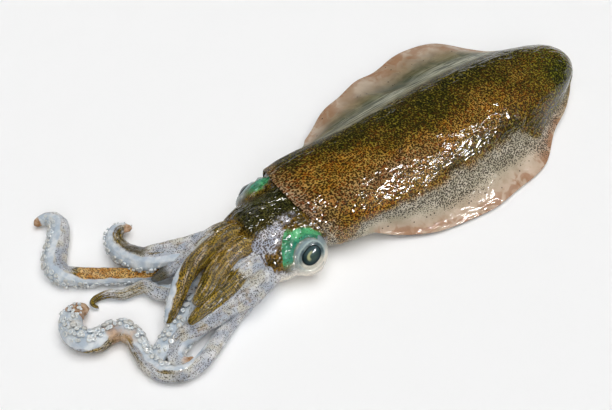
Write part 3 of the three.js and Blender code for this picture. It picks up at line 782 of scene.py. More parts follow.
def limb_skin(name, limb):
    """A limb: an oval carried along its route, flattened on its sucker side and keeled on its outer side.

    The oval's radius is that of an ellipse. It is drawn in by a share of the cosine of the angle from
    the sucker side, pushed out in a narrow ridge opposite, and ribbed lengthwise.
    """
    count = max(int(np.linalg.norm(np.diff(limb["route"], axis=0), axis=1).sum() / 0.55), 120)
    centre, _, right, over, towards, beside, length = limb_frame(limb, count)
    t = np.linspace(0, 1, count)
    cap = np.sqrt(np.clip(1 - step(0.985, 1, t) ** 2, 0.02, 1))
    width = (smooth(limb["width"], t) * cap)[:, None]
    turn = np.linspace(0, 2 * math.pi, 60, endpoint=False)[None]
    across = np.cos(turn)[..., None] * right[:, None] + np.sin(turn)[..., None] * over[:, None]
    facing = np.einsum("ijk,ik->ij", across, towards)
    beside_share = np.einsum("ijk,ik->ij", across, beside)
    oval = 1 / np.sqrt(np.cos(turn) ** 2 + (np.sin(turn) / limb["thick"]) ** 2)
    shape = 1 - 0.16 * np.clip(facing, 0, 1) ** 2 + limb["keel"] * np.clip(-facing, 0, 1) ** 8
    shape = shape + 0.05 * hump(0.55, 0.12, facing)
    waves = np.sin(beside_share * 7.5 + 0.6) * np.clip(0.3 - facing, 0, 1)
    shape = shape + profile(limb, "ribs", t) * waves
    points = centre[:, None] + across * (width * oval * shape)[..., None]
    relief = 0.28 * noise(points, 5, 41) + 0.16 * noise(points, 2.2, 42)
    ringed = 0.12 * np.sin(t * length / 0.9)[:, None] * np.clip(facing, 0, 1)
    points = points + across * ((relief + ringed) * step(0, 5, width))[..., None]
    points[..., 2] = np.maximum(points[..., 2], GROUND)
    skin_side = step(0.35, -0.35, facing + 0.18 * noise(points, 5, 43))
    masks = {
        "skin": skin_side, "gold": profile(limb, "gold", t), "shade": profile(limb, "shade", t),
        "tan": profile(limb, "tan", t), "speck": profile(limb, "speck", t), "beside": beside_share,
        "facing": facing, "along": t[:, None] * length * MM, "run": t[:, None] * length,
        "girth": np.arctan2(beside_share, -facing) * widest(limb) * 0.8,
        "patch": 0.5 + 0.5 * noise(points, 11, 44),
    }
    return grid_piece(name + "_skin", points, masks)


# A sucker's radius and height as shares of half its size, and how far it is its pale rim: from its
# foot, over the rim and down into its hollow.
SUCKER_PROFILE = ((0.34, -0.9, 0), (0.72, 0, 0.2), (1, 0.62, 0.8), (0.8, 1.05, 1), (0.46, 0.6, 0.2))


def sucker_rings(name, limb):
    """Suckers: small stalked cups in rows on the sucker side, each a profile turned around its axis."""
    start, end, along_count, rows, size = limb["suckers"]
    random = np.random.default_rng(sum(ord(letter) for letter in name))
    count = 400
    centre, ahead, _, _, towards, beside, _ = limb_frame(limb, count)
    t = np.repeat(np.linspace(start, end, along_count), rows)
    row = np.tile(np.arange(rows), along_count)
    t = t + (row % 2) * 0.5 * (end - start) / along_count
    t = t + random.uniform(-1, 1, len(t)) * 0.3 / along_count
    t = np.clip(t, 0, 0.995)
    spread = 1.25 if rows == 2 else 1.9
    lean = ((row + 0.5) / rows - 0.5) * spread + random.uniform(-0.2, 0.2, len(t))

    def at_suckers(values):
        """The limb's values at each sucker."""
        index = t * (count - 1)
        return np.stack([np.interp(index, np.arange(count), values[:, k]) for k in range(3)], axis=-1)

    toward, aside, forth = (unit(at_suckers(values)) for values in (towards, beside, ahead))
    out = unit(toward * np.cos(lean)[:, None] + aside * np.sin(lean)[:, None])
    wide = smooth(limb["width"], t)
    big = size * (0.55 + 0.45 * wide / widest(limb)) * (1 - 0.45 * step(0.85, 1, t))
    big = big * random.uniform(0.62, 1.2, len(t))
    edge, rise, pale = np.array(SUCKER_PROFILE, float).T
    turn = np.linspace(0, 2 * math.pi, 9, endpoint=False)[None]
    side = unit(np.cross(out, forth))
    fore = np.cross(side, out)
    base = (at_suckers(centre) + out * (wide * 0.86)[:, None])[:, None, None]
    ring = (np.cos(turn) * edge[:, None])[None, ..., None] * side[:, None, None]
    ring = ring + (np.sin(turn) * edge[:, None])[None, ..., None] * fore[:, None, None]
    upright = rise[None, :, None, None] * out[:, None, None]
    cups = base + (ring + upright) * (big / 2)[:, None, None, None]
    total, rings, columns, _ = cups.shape
    shared = rings * columns + 2
    ends = np.stack([cups[:, 0].mean(1), cups[:, -1].mean(1)], axis=1)
    spots = np.concatenate([cups.reshape(total, -1, 3), ends], axis=1).reshape(-1, 3)
    spots[:, 2] = np.maximum(spots[:, 2], GROUND)
    _, quads, fans = closed_grid(cups[0])
    shift = (np.arange(total) * shared)[:, None, None]
    quads, fans = (quads + shift).reshape(-1, 4), (fans + shift).reshape(-1, 3)
    rim = np.tile(np.concatenate([np.repeat(pale, columns), [0, 0]]), total)
    masks = {"rim": rim, "tone": np.repeat(random.uniform(0, 1, total), shared)}
    return make_mesh(name + "_suckers", spots, quads, fans, masks)


# ---- finishes ----

def tone(red, green, blue):
    """A colour given as display values from 0 to 255, as the linear colour that a shader reads."""
    share = np.array([red, green, blue]) / 255
    linear = np.where(share <= 0.04045, share / 12.92, ((share + 0.055) / 1.055) ** 2.4)
    return (*(float(v) for v in linear), 1.0)


class Finish:
    """One procedural material, built up node by node around a Principled shader."""

    def __init__(self, name):
        self.material = bpy.data.materials.new(name)
        self.material.use_nodes = True
        self.tree = self.material.node_tree
        self.shader = next(n for n in self.tree.nodes if n.type == "BSDF_PRINCIPLED")
        self.place = self.node("ShaderNodeTexCoord").outputs["Object"]

    def node(self, kind, inputs=None, **settings):
        """A new node with its settings, and its inputs fed."""
        made = self.tree.nodes.new(kind)
        for key, value in settings.items():
            setattr(made, key, value)
        for key, value in (inputs or {}).items():
            self.feed(made.inputs[key], value)
        return made

    def feed(self, socket, value):
        """Links a node's output to a socket, or sets the socket to a plain value."""
        if isinstance(value, bpy.types.NodeSocket):
            self.tree.links.new(value, socket)
        else:
            socket.default_value = value

    def mask(self, name):
        """One of the piece's own masks."""
        return self.node("ShaderNodeAttribute", attribute_name=name).outputs["Fac"]

    def stretched(self, scale, turn=(0, 0, 0)):
        """The place on the piece with its axes scaled and turned."""
        inputs = {"Vector": self.place, "Scale": scale, "Rotation": turn}
        return self.node("ShaderNodeMapping", inputs).outputs[0]

    def math(self, operation, a, b=0.0, c=0.0):
        """The result of a sum on masks or numbers."""
        made = self.node("ShaderNodeMath", operation=operation)
        for socket, value in zip(made.inputs, (a, b, c)):
            self.feed(socket, value)
        return made.outputs[0]

    def times(self, a, b):
        """One value times another."""
        return self.math("MULTIPLY", a, b)

    def plus(self, a, b):
        """One value added to another."""
        return self.math("ADD", a, b)

    def swing(self, value, amount):
        """A value from 0 to 1 turned into one that swings to both sides of 0, by amount in all."""
        return self.times(self.math("SUBTRACT", value, 0.5), amount)

    def ramp(self, value, low, high, out_low=0.0, out_high=1.0):
        """A smooth change from out_low to out_high as the value goes from low to high."""
        inputs = {"Value": value, "From Min": low, "From Max": high, "To Min": out_low, "To Max": out_high}
        return self.node("ShaderNodeMapRange", inputs, interpolation_type="SMOOTHSTEP").outputs["Result"]

    def mix(self, share, a, b):
        """Colour a with a share of colour b."""
        made = self.node("ShaderNodeMix", data_type="RGBA", clamp_factor=True)
        self.feed(made.inputs[0], share)
        self.feed(made.inputs[6], a)
        self.feed(made.inputs[7], b)
        return made.outputs[2]

    def clouds(self, size, detail=3.0, bend=0.0, place=None):
        """Soft noise from 0 to 1 with features of a size in mm."""
        inputs = {"Vector": place or self.place, "Scale": 1 / (size * MM)}
        inputs.update({"Detail": detail, "Distortion": bend})
        return self.node("ShaderNodeTexNoise", inputs).outputs["Fac"]

    def chart(self):
        """The skin laid out flat: distance along the piece and distance around it."""
        run, girth = (self.times(self.mask(name), MM) for name in ("run", "girth"))
        return self.node("ShaderNodeCombineXYZ", {0: run, 1: girth}).outputs[0]

    def dots(self, chart, spacing, small, large, soft=0.35, share=1.0):
        """Round spots on the flat chart, one to a cell, a spacing in mm apart.

        Their radii lie between small and large, as shares of the spacing. Only the given share of the
        cells has a spot. share and the radii may be masks. The cells' random numbers stay in pick.
        """
        cell = self.node("ShaderNodeTexVoronoi", {
            "Vector": chart, "Scale": 1 / (spacing * MM), "Randomness": 0.85}, voronoi_dimensions="2D")
        self.pick = self.node("ShaderNodeSeparateColor", {"Color": cell.outputs["Color"]}).outputs
        radius = self.plus(small, self.times(self.pick[0], self.math("SUBTRACT", large, small)))
        edge = self.math("DIVIDE", cell.outputs["Distance"], self.math("MAXIMUM", radius, 0.01))
        spot = self.ramp(edge, 1.0, 1.0 - soft)
        return self.times(spot, self.math("LESS_THAN", self.pick[1], share))

    def bump(self, height, depth, onto=None):
        """A normal bent by a height from 0 to 1 that stands for a depth in mm."""
        inputs = {"Height": height, "Distance": depth * MM, "Strength": 1.0}
        if onto:
            inputs["Normal"] = onto
        return self.node("ShaderNodeBump", inputs).outputs["Normal"]

    def set(self, **values):
        """Feeds inputs of the Principled shader."""
        for key, value in values.items():
            self.feed(self.shader.inputs[key.replace("_", " ")], value)

    def wet(self, settings, rough, fine=1.0, film=1.0, rippled=1.0):
        """A thin wet film: a glossy coat over the skin, with its own long bent ripples.

        fine scales the ripples in size and depth. film and rippled are shares of the film's strength
        and of the ripples' height.
        """
        ripples = self.clouds(9 * fine, 1.0, 2.2, self.stretched((0.5, 1, 1)))
        small = self.clouds(2.8 * fine, 1.0, 0.6)
        height = self.times(self.plus(self.times(ripples, 0.92), self.times(small, 0.08)), rippled)
        weight = film * settings.wetness if isinstance(film, float) else self.times(film, settings.wetness)
        self.set(Coat_Weight=weight, Coat_Roughness=rough, Coat_IOR=1.38)
        self.set(Coat_Normal=self.bump(height, settings.ripple_depth * fine))


def colour(value):
    """A panel colour as a shader colour."""
    return (*value, 1.0)


def body_finish(settings):
    """Mantle and fins: brown skin crowded with pigment spots, pale flanks and thin glassy fins, with
    painted shade and painted sheen.
    """
    f = Finish("speckled_mantle_skin")
    brown, dark, thin, margin = f.mask("brown"), f.mask("dark"), f.mask("thin"), f.mask("margin")
    spotted, far, chart = f.mask("spotted"), f.mask("far"), f.chart()
    broad = f.clouds(20, 4)
    fine = f.clouds(4.5, 4, 0.4)
    # the light net between the pigment spots: golden, orange and olive in drifts, pinkish lilac by the
    # front edge and a painted lilac sheen along the near shoulder
    net = f.mix(f.ramp(broad, 0.38, 0.64), colour(settings.skin_golden), colour(settings.skin_ochre))
    net = f.mix(f.times(f.ramp(f.clouds(9, 3, 0.8), 0.52, 0.7), 0.5), net, tone(206, 124, 10))
    net = f.mix(f.times(f.ramp(fine, 0.4, 0.7), 0.5), net, tone(150, 140, 60))
    # pinkish lilac at the front edge, and a painted sheen along the near shoulder
    net = f.mix(f.times(f.mask("lilac_and_sheen"), 0.6), net, tone(172, 150, 132))
    net = f.mix(f.times(f.ramp(f.clouds(13, 4, 1.0), 0.5, 0.66), 0.3), net, tone(98, 80, 16))
    olive = f.mix(f.ramp(fine, 0.35, 0.7), tone(88, 84, 16), tone(138, 122, 38))
    net = f.mix(f.ramp(dark, 0.1, 0.8), net, olive)
    net = f.mix(f.times(f.mask("tail"), 0.7), net, tone(122, 118, 22))
    # flanks and fins: milky, with pigment thinning out into pale flesh, and darker on the far side as
    # painted shade
    milky = f.mix(f.ramp(f.clouds(10, 4), 0.35, 0.7), colour(settings.flesh_pale), tone(208, 198, 178))
    # striated grey along the far fin's root: partly muscle lines, partly a painted sheen
    striped = f.clouds(2.2, 3, 0.5, f.stretched((0.1, 1, 1), (0, 0, 0.03)))
    grey = f.mix(f.ramp(striped, 0.38, 0.64), tone(74, 78, 60), tone(178, 178, 154))
    # painted shade: the far fin's flesh is the same as the near fin's, but drawn darker
    shaded_far_flesh = f.mix(f.ramp(f.clouds(14, 4, 0.8), 0.35, 0.65), tone(70, 72, 40), tone(122, 114, 82))
    flesh = f.mix(far, milky, shaded_far_flesh)
    flesh = f.mix(f.mask("root_sheen_band"), flesh, grey)
    # painted shade: darker grey-green in the far fin's hollow
    flesh = f.mix(f.times(f.mask("hollow"), 0.75), flesh, tone(76, 86, 76))
    pinkish = f.mix(f.ramp(f.clouds(8, 3), 0.4, 0.7), colour(settings.fin_edge), tone(176, 146, 120))
    paler = f.mix(f.ramp(broad, 0.4, 0.62), tone(172, 144, 120), tone(208, 190, 172))
    pinkish = f.mix(f.times(far, 0.7), pinkish, paler)
    flesh = f.mix(f.times(f.ramp(thin, 0.4, 0.95), 0.85), flesh, pinkish)
    rust = f.ramp(f.plus(f.clouds(9, 3, 0.8), f.times(margin, 0.16)), 0.56, 0.7)
    flesh = f.mix(f.times(f.times(rust, margin), f.ramp(far, 0, 1, 0.6, 0.42)), flesh, tone(146, 90, 44))
    edge = f.ramp(f.plus(brown, f.swing(fine, 0.8)), 0.2, 0.8)
    skin = f.mix(edge, flesh, net)
    skin = f.mix(f.times(f.mask("rim"), 0.6), skin, f.mix(edge, tone(132, 138, 92), tone(104, 112, 20)))
    # pigment spots, closer and larger where the skin is dark, some of them drawn small and rust red
    heavy = f.plus(f.times(dark, brown), f.swing(fine, 0.4))
    small = f.ramp(edge, 0, 1, f.times(spotted, 0.34), f.ramp(heavy, 0, 1, 0.46, 0.58))
    large = f.ramp(edge, 0, 1, f.times(spotted, 0.66), f.ramp(heavy, 0, 1, 0.72, 0.9))
    crowded = f.ramp(edge, 0, 1, f.times(spotted, 1.2), 0.97)
    spots = f.dots(chart, settings.spot_spacing, small, large, 0.32, crowded)
    deep = f.mix(f.ramp(f.pick[2], 0.68, 0.8), tone(46, 28, 4), tone(112, 50, 6))
    deep = f.mix(edge, tone(66, 58, 46), f.mix(dark, deep, tone(24, 24, 2)))
    skin = f.mix(f.times(spots, 0.94), skin, deep)
    specks = f.dots(chart, settings.spot_spacing * 2.3, 0.1, 0.24, 0.3, f.times(spotted, 0.5))
    skin = f.mix(f.times(specks, 0.9), skin, f.mix(edge, tone(54, 44, 34), tone(24, 14, 0)))
    f.set(Base_Color=skin, Roughness=f.ramp(fine, 0.3, 0.7, 0.4, 0.55))
    f.set(Subsurface_Weight=0.06, Subsurface_Radius=(0.9, 0.6, 0.4), Subsurface_Scale=1.2 * MM)
    f.set(Specular_IOR_Level=0.02)
    folds = f.clouds(6, 3, 0.5, f.stretched((0.4, 1, 1)))
    crepe = f.plus(f.times(f.clouds(1.6, 3, 0.3), 0.6), f.times(folds, 0.8))
    f.set(Normal=f.bump(f.plus(crepe, f.times(spots, 0.12)), 0.22))
    film = f.ramp(f.times(thin, f.math("SUBTRACT", 1.0, brown)), 0.1, 0.6, 1.0, 0.3)
    film = f.times(film, f.ramp(f.mask("turned"), 0, 1, 1.0, 0.3))
    f.wet(settings, 0.06, film=film, rippled=f.ramp(f.mask("wrinkled"), 0, 1, 0.22, 1.0))
    return f.material


def head_finish(settings):
    """Head: olive-black crown, orange-brown front, milky cheeks and green-gold patches over the eyes."""
    f = Finish("head_skin")
    brown, dark = f.mask("brown"), f.mask("dark")
    fine = f.clouds(4, 4, 0.5)
    orange = f.mix(f.ramp(f.clouds(6, 3, 0.6), 0.35, 0.7), tone(84, 64, 8), tone(140, 104, 30))
    crown = f.mix(f.ramp(fine, 0.35, 0.7), tone(40, 42, 14), tone(84, 80, 36))
    ground = f.mix(f.ramp(dark, 0.15, 0.75), orange, crown)
    chart = f.chart()
    pigment = f.times(f.dots(chart, 1.45, 0.3, 0.6), 0.9)
    pigment = f.math("MAXIMUM", pigment, f.dots(chart, 3.2, 0.1, 0.28, 0.3, 0.4))
    top = f.mix(pigment, ground, tone(18, 15, 2))
    cheek = f.mix(f.ramp(f.clouds(5, 4), 0.35, 0.7), tone(168, 174, 188), tone(216, 214, 216))
    cheek = f.mix(f.mask("pale"), cheek, tone(244, 236, 222))
    spots = f.times(f.dots(chart, 1.35, 0.32, 0.64, 0.35, 0.97), 0.94)
    spots = f.math("MAXIMUM", spots, f.dots(chart, 2.8, 0.1, 0.3, 0.3, 0.6))
    cheek = f.mix(f.times(spots, f.ramp(f.mask("pale"), 0, 1, 0.9, 0.25)), cheek, tone(66, 48, 24))
    edge = f.ramp(f.plus(brown, f.swing(fine, 0.9)), 0.3, 0.75)
    skin = f.mix(edge, cheek, top)
    lids = f.mix(f.ramp(fine, 0.35, 0.65), tone(120, 142, 144), tone(168, 180, 176))
    lids = f.mix(f.mask("pale"), lids, tone(242, 234, 218))
    skin = f.mix(f.times(f.mask("clear"), 0.8), skin, lids)
    shine = f.mix(f.ramp(f.clouds(7, 3, 0.4), 0.36, 0.64), tone(16, 116, 70), tone(92, 196, 130))
    shine = f.mix(f.times(f.mask("teal"), 0.85), shine, tone(0, 126, 108))
    shine = f.mix(f.ramp(f.mask("green"), 0.85, 0.3), shine, tone(112, 118, 26))
    freckles = f.dots(chart, 1.35, 0.16, 0.5, 0.35, f.ramp(f.mask("green"), 0.4, 1.0, 1.0, 0.3))
    shine = f.mix(f.times(freckles, 0.9), shine, tone(40, 44, 8))
    green = f.ramp(f.plus(f.mask("green"), f.swing(fine, 0.7)), 0.1, 0.8)
    skin = f.mix(f.times(green, 0.9), skin, shine)
    f.set(Base_Color=skin, Roughness=f.ramp(fine, 0.3, 0.7, 0.4, 0.55), Specular_IOR_Level=0.02)
    f.set(Subsurface_Weight=0.1, Subsurface_Radius=(0.9, 0.6, 0.4), Subsurface_Scale=2 * MM)
    crepe = f.plus(f.clouds(1.4, 3, 0.4), f.clouds(4.5, 3, 0.8, f.stretched((0.5, 1, 1))))
    f.set(Normal=f.bump(crepe, 0.22))
    f.wet(settings, 0.07, 0.8, rippled=1.5)
    return f.material


def eye_finish():
    """Eye: a dark blue-grey pupil under a greenish lens with a painted highlight on it, a silver ring and
    a milky outer ball.
    """
    f = Finish("wet_eye")
    polar, sky, pupil = f.mask("polar"), f.mask("sky"), f.mask("pupil")
    cloud = f.clouds(3.2, 3)
    depth = f.mix(f.ramp(polar, 0.1, 0.4), tone(64, 82, 74), tone(26, 44, 50))
    depth = f.mix(f.times(f.ramp(sky, 0.4, 0.95), 0.55), depth, tone(74, 96, 100))
    # painted highlight: a pale curved mark on the lens's upper, outer side
    lens_glint = f.times(f.ramp(polar, 0.1, 0.16), f.ramp(polar, 0.27, 0.2))
    lens_glint = f.times(lens_glint, f.ramp(f.plus(f.mask("aside"), f.times(sky, 0.5)), 0.75, 1.15))
    depth = f.mix(f.times(lens_glint, 0.9), depth, tone(184, 186, 140))
    rim = f.times(f.ramp(polar, 0.36, 0.44), f.ramp(polar, 0.49, 0.45))
    depth = f.mix(rim, depth, tone(20, 24, 22))
    silver = f.mix(f.ramp(cloud, 0.35, 0.65), tone(74, 92, 98), tone(118, 132, 132))
    silver = f.mix(f.ramp(polar, 0.54, 0.62), silver, tone(170, 188, 186))
    silver = f.mix(f.times(f.ramp(sky, 0.45, 0.15), 0.85), silver, tone(222, 216, 200))
    silver = f.mix(f.times(f.ramp(f.clouds(0.8, 2), 0.58, 0.7), 0.5), silver, tone(74, 72, 60))
    outer = f.mix(f.ramp(sky, 0.3, 0.75), tone(232, 226, 212), tone(132, 150, 154))
    silver = f.mix(f.ramp(polar, 0.62, 0.72), silver, outer)
    f.set(Base_Color=f.mix(pupil, silver, depth), Roughness=f.ramp(cloud, 0.3, 0.7, 0.12, 0.25))
    f.set(Coat_Weight=0.5, Coat_Roughness=0.04, Coat_IOR=1.3, Specular_IOR_Level=0.05)
    f.set(Normal=f.bump(f.clouds(2.5, 2), 0.05))
    return f.material


def limb_finish(settings):
    """Arms and tentacles: freckled skin outside, golden along the back, and milky flesh by the suckers."""
    f = Finish("arm_skin")
    skin, gold, speck, patch = f.mask("skin"), f.mask("gold"), f.mask("speck"), f.mask("patch")
    fine = f.clouds(3.5, 4, 0.5)
    # places within a limb as if it were straight and even: two across it and one, drawn out, along it
    scales = {"beside": 0.009, "facing": 0.009, "along": 0.16}
    own = [f.times(f.mask(name), scale) for name, scale in scales.items()]
    grain = f.node("ShaderNodeCombineXYZ", dict(enumerate(own))).outputs[0]
    lilac = f.mix(f.ramp(f.clouds(8, 3), 0.35, 0.7), tone(166, 173, 184), tone(216, 216, 215))
    veins = f.ramp(f.clouds(2.0, 3, 0.4, grain), 0.5, 0.75)
    lilac = f.mix(f.times(veins, 0.8), lilac, tone(160, 152, 156))
    lilac = f.mix(f.times(f.ramp(f.clouds(14, 3, 0.6), 0.46, 0.62), 0.7), lilac, tone(202, 196, 178))
    lilac = f.mix(f.times(f.ramp(f.clouds(7, 4, 1.0), 0.58, 0.72), 0.5), lilac, tone(150, 122, 72))
    streaks = f.clouds(1.7, 3, 0.3, grain)
    golden = f.mix(f.ramp(streaks, 0.34, 0.64), tone(60, 54, 6), tone(174, 142, 30))
    pale_line = f.ramp(f.clouds(2.2, 2, 0.3, grain), 0.57, 0.66)
    golden = f.mix(f.times(pale_line, 0.65), golden, tone(192, 178, 156))
    amber = f.mix(f.ramp(fine, 0.35, 0.65), tone(178, 116, 34), tone(222, 184, 112))
    golden = f.mix(f.ramp(gold, 0.95, 1.2), golden, amber)
    mark = f.plus(f.swing(patch, 0.55), f.swing(fine, 0.5))
    veined = f.swing(f.clouds(2.6, 2, 0.3, grain), 1.1)
    gilt = f.ramp(f.plus(f.times(gold, skin), f.plus(mark, veined)), 0.3, 0.66)
    base = f.mix(gilt, lilac, golden)
    dark_share = f.ramp(f.times(f.mask("shade"), f.plus(skin, mark)), 0.3, 0.8)
    dark = f.mix(f.ramp(fine, 0.35, 0.7), tone(38, 36, 12), tone(82, 72, 34))
    base = f.mix(f.times(dark_share, 0.85), base, dark)
    chart = f.chart()
    drifts = f.times(speck, f.ramp(f.clouds(9, 3), 0.3, 0.6, 0.4, 1.1))
    spots = f.times(f.dots(chart, 1.2, 0.18, 0.46, 0.4, drifts), 0.85)
    spots = f.math("MAXIMUM", spots, f.dots(chart, 2.8, 0.08, 0.24, 0.3, f.times(speck, 0.6)))
    spots = f.times(spots, f.ramp(f.plus(skin, mark), 0.3, 0.75))
    base = f.mix(f.times(spots, 0.85), base, tone(46, 32, 12))
    crowd = f.times(f.dots(chart, 1.35, 0.28, f.ramp(gold, 0.95, 1.2, 0.58, 0.46), 0.4), gilt)
    base = f.mix(f.times(crowd, 0.9), base, tone(30, 24, 3))
    milk = f.mix(f.ramp(f.clouds(6, 3), 0.35, 0.7), tone(178, 190, 202), tone(220, 224, 226))
    base = f.mix(f.ramp(f.plus(skin, f.times(mark, 0.6)), 0.25, 0.6), milk, base)
    tanned = f.mix(f.ramp(fine, 0.35, 0.65), tone(146, 104, 60), tone(196, 166, 138))
    base = f.mix(f.ramp(f.plus(f.mask("tan"), f.times(mark, 0.6)), 0.35, 0.65), base, tanned)
    f.set(Base_Color=base, Roughness=f.ramp(fine, 0.3, 0.7, 0.4, 0.55), Specular_IOR_Level=0.06)
    f.set(Subsurface_Weight=0.15, Subsurface_Radius=(0.9, 0.7, 0.6), Subsurface_Scale=1.6 * MM)
    crepe = f.plus(f.clouds(1.4, 3, 0.4), f.times(f.clouds(1.5, 3, 0.2, grain), 0.6))
    f.set(Normal=f.bump(crepe, 0.3))
    f.wet(settings, 0.07, 0.5, 0.8, 2.2)
    return f.material


def sucker_finish(settings):
    """Suckers: blue-white cups, each a little different, with a horny ring and a shaded hollow."""
    f = Finish("sucker_flesh")
    rim, single = f.mask("rim"), f.mask("tone")
    body = f.mix(single, tone(176, 190, 200), tone(208, 214, 214))
    ring = f.mix(single, tone(224, 230, 234), tone(204, 202, 194))
    shade = f.mix(f.ramp(rim, 0.15, 0.75), body, ring)
    warm = f.ramp(f.clouds(6, 3), 0.5, 0.75)
    f.set(Base_Color=f.mix(f.times(warm, 0.35), shade, tone(184, 164, 140)), Roughness=0.28)
    f.set(Subsurface_Weight=0.2, Subsurface_Radius=(0.8, 0.8, 0.8), Subsurface_Scale=1.2 * MM)
    f.set(Normal=f.bump(f.clouds(0.8, 2), 0.08))
    f.wet(settings, 0.1, 0.4)
    return f.material


def floor_finish(settings):
    """Plain pale table top with a faint grain."""
    f = Finish("pale_table")
    grain = f.mix(f.clouds(30, 3), colour(settings.floor_colour), tone(253, 253, 253))
    f.set(Base_Color=grain, Roughness=f.ramp(f.clouds(40, 2), 0, 1, 0.7, 0.8), Specular_IOR_Level=0.0)
    return f.material


# ---- the add-on ----

class SquidSettings(PropertyGroup):
    """Sizes and colours a user would change."""

    skin_golden: FloatVectorProperty(
        name="Golden skin", description="Golden ground of the mantle's skin", subtype="COLOR", size=3,
        default=tone(184, 142, 62)[:3])
    skin_ochre: FloatVectorProperty(
        name="Ochre skin", description="Deeper ground of the mantle's skin", subtype="COLOR", size=3,
        default=tone(164, 116, 27)[:3])
    flesh_pale: FloatVectorProperty(
        name="Pale flesh", description="Milky flank and fin flesh", subtype="COLOR", size=3,
        default=tone(174, 166, 144)[:3])
    fin_edge: FloatVectorProperty(
        name="Fin edge", description="Pinkish tan of the fins' edges", subtype="COLOR", size=3,
        default=tone(200, 174, 152)[:3])
    floor_colour: FloatVectorProperty(
        name="Floor", description="Colour of the table top", subtype="COLOR", size=3,
        default=tone(250, 250, 250)[:3])
    spot_spacing: FloatProperty(
        name="Spot spacing", description="Distance between pigment spots on the mantle, mm", default=1.3,
        min=0.8, max=6)
    wetness: FloatProperty(
        name="Wetness", description="Strength of the wet film over the skin", default=1.0, min=0, max=1,
        subtype="FACTOR")
    ripple_depth: FloatProperty(
        name="Ripple depth", description="Depth of the wet film's ripples, mm", default=4.2, min=0, max=8)
    window_light: FloatProperty(
        name="Window light", description="Power of the narrow light that the wet film reflects",
        default=46.0, min=0, unit="POWER")
    soft_light: FloatProperty(
        name="Soft light", description="Strength of the broad overhead light, W/m2", default=2.05, min=0)


class SQUID_OT_body(Operator):
    """Mantle and both fins as one skin"""

    bl_idname = "squid.body"
    bl_label = "Mantle and fins"

    def execute(self, context):
        settings = context.scene.squid
        skin = body_skin()
        finish_piece(skin, body_finish(settings), "mantle_skin", "mantle", "fin_left", "fin_right")
        return {"FINISHED"}


class SQUID_OT_head(Operator):
    """Head skin with its eye rims"""

    bl_idname = "squid.head"
    bl_label = "Head"

    def execute(self, context):
        settings = context.scene.squid
        finish_piece(head_skin(), head_finish(settings), "head_skin", "head")
        return {"FINISHED"}


class SQUID_OT_eyes(Operator):
    """Both eyes"""

    bl_idname = "squid.eyes"
    bl_label = "Eyes"

    def execute(self, context):
        material = eye_finish()
        finish_piece(eyeball(-1), material, "eye", "eye_left")
        finish_piece(eyeball(1), material, "eye", "eye_right")
        return {"FINISHED"}


def limb_slot(name):
    """Slot of a limb's materials."""
    return "arm_skin" if name.startswith("arm") else "tentacle_skin"


class SQUID_OT_limbs(Operator):
    """Funnel, eight arms and two tentacles"""

    bl_idname = "squid.limbs"
    bl_label = "Arms, tentacles and funnel"

    def execute(self, context):
        material = limb_finish(context.scene.squid)
        finish_piece(funnel_tube(), material, "funnel_skin", "funnel")
        for name, limb in LIMBS.items():
            finish_piece(limb_skin(name, limb), material, limb_slot(name), name)
        return {"FINISHED"}


class SQUID_OT_suckers(Operator):
    """Rows of suckers on every arm and tentacle"""

    bl_idname = "squid.suckers"
    bl_label = "Suckers"

    def execute(self, context):
        material = sucker_finish(context.scene.squid)
        for name, limb in LIMBS.items():
            finish_piece(sucker_rings(name, limb), material, limb_slot(name))
        return {"FINISHED"}


def aimed(lamp, backward, place_at=Vector()):
    """Puts a light in the scene with its back turned along backward and its length along X."""
    backward = backward.normalized()
    sideways = (Vector((1, 0, 0)) - backward * backward.x).normalized()
    axes = Matrix((sideways, backward.cross(sideways), backward)).transposed()
    lamp.matrix_world = Matrix.Translation(place_at) @ axes.to_4x4()
    bpy.context.scene.collection.objects.link(lamp)


def soft_light(name, strength, spread, backward):
    """A broad even light, spread over an angle in degrees, that no wet film mirrors."""
    data = bpy.data.lights.new(name, "SUN")
    data.energy, data.angle = strength, math.radians(spread)
    lamp = bpy.data.objects.new(name, data)
    lamp.visible_glossy = False
    aimed(lamp, backward)


def glint_light(name, size, power, place_at, aim):
    """A rectangular light that shows only as glints in the wet film."""
    data = bpy.data.lights.new(name, "AREA")
    data.shape = "RECTANGLE"
    data.size, data.size_y, data.energy = *size, power
    lamp = bpy.data.objects.new(name, data)
    lamp.visible_diffuse = False
    aimed(lamp, place_at - aim, place_at)


def table_top(settings):
    """A wide flat table top, a hair below the animal."""
    spots = np.array([[-1, -1, 0], [1, -1, 0], [1, 1, 0], [-1, 1, 0]]) * TABLE_REACH - [0, 0, TABLE_DROP]
    mesh = bpy.data.meshes.new("table_top")
    mesh.from_pydata(spots.tolist(), [], [[0, 1, 2, 3]])
    mesh.materials.append(floor_finish(settings))
    table = bpy.data.objects.new("table_top", mesh)
    bpy.context.scene.collection.objects.link(table)
    return table


def studio_world():
    """White surroundings: bright to the camera, faint as light and fainter in the wet film."""
    world = bpy.data.worlds.new("studio")
    world.use_nodes = True
    nodes, links = world.node_tree.nodes, world.node_tree.links
    path = nodes.new("ShaderNodeLightPath")
    strength = nodes.new("ShaderNodeMapRange")
    strength.inputs["To Min"].default_value = WORLD_LIGHT
    strength.inputs["To Max"].default_value = WORLD_SEEN
    links.new(path.outputs["Is Camera Ray"], strength.inputs["Value"])
    dimmed = nodes.new("ShaderNodeMath")
    dimmed.operation = "MULTIPLY_ADD"
    dimmed.inputs[1].default_value = WORLD_GLOSS
    links.new(path.outputs["Is Glossy Ray"], dimmed.inputs[0])
    links.new(strength.outputs["Result"], dimmed.inputs[2])
    nodes["Background"].inputs["Color"].default_value = (1, 1, 1, 1)
    links.new(dimmed.outputs[0], nodes["Background"].inputs["Strength"])
    return world


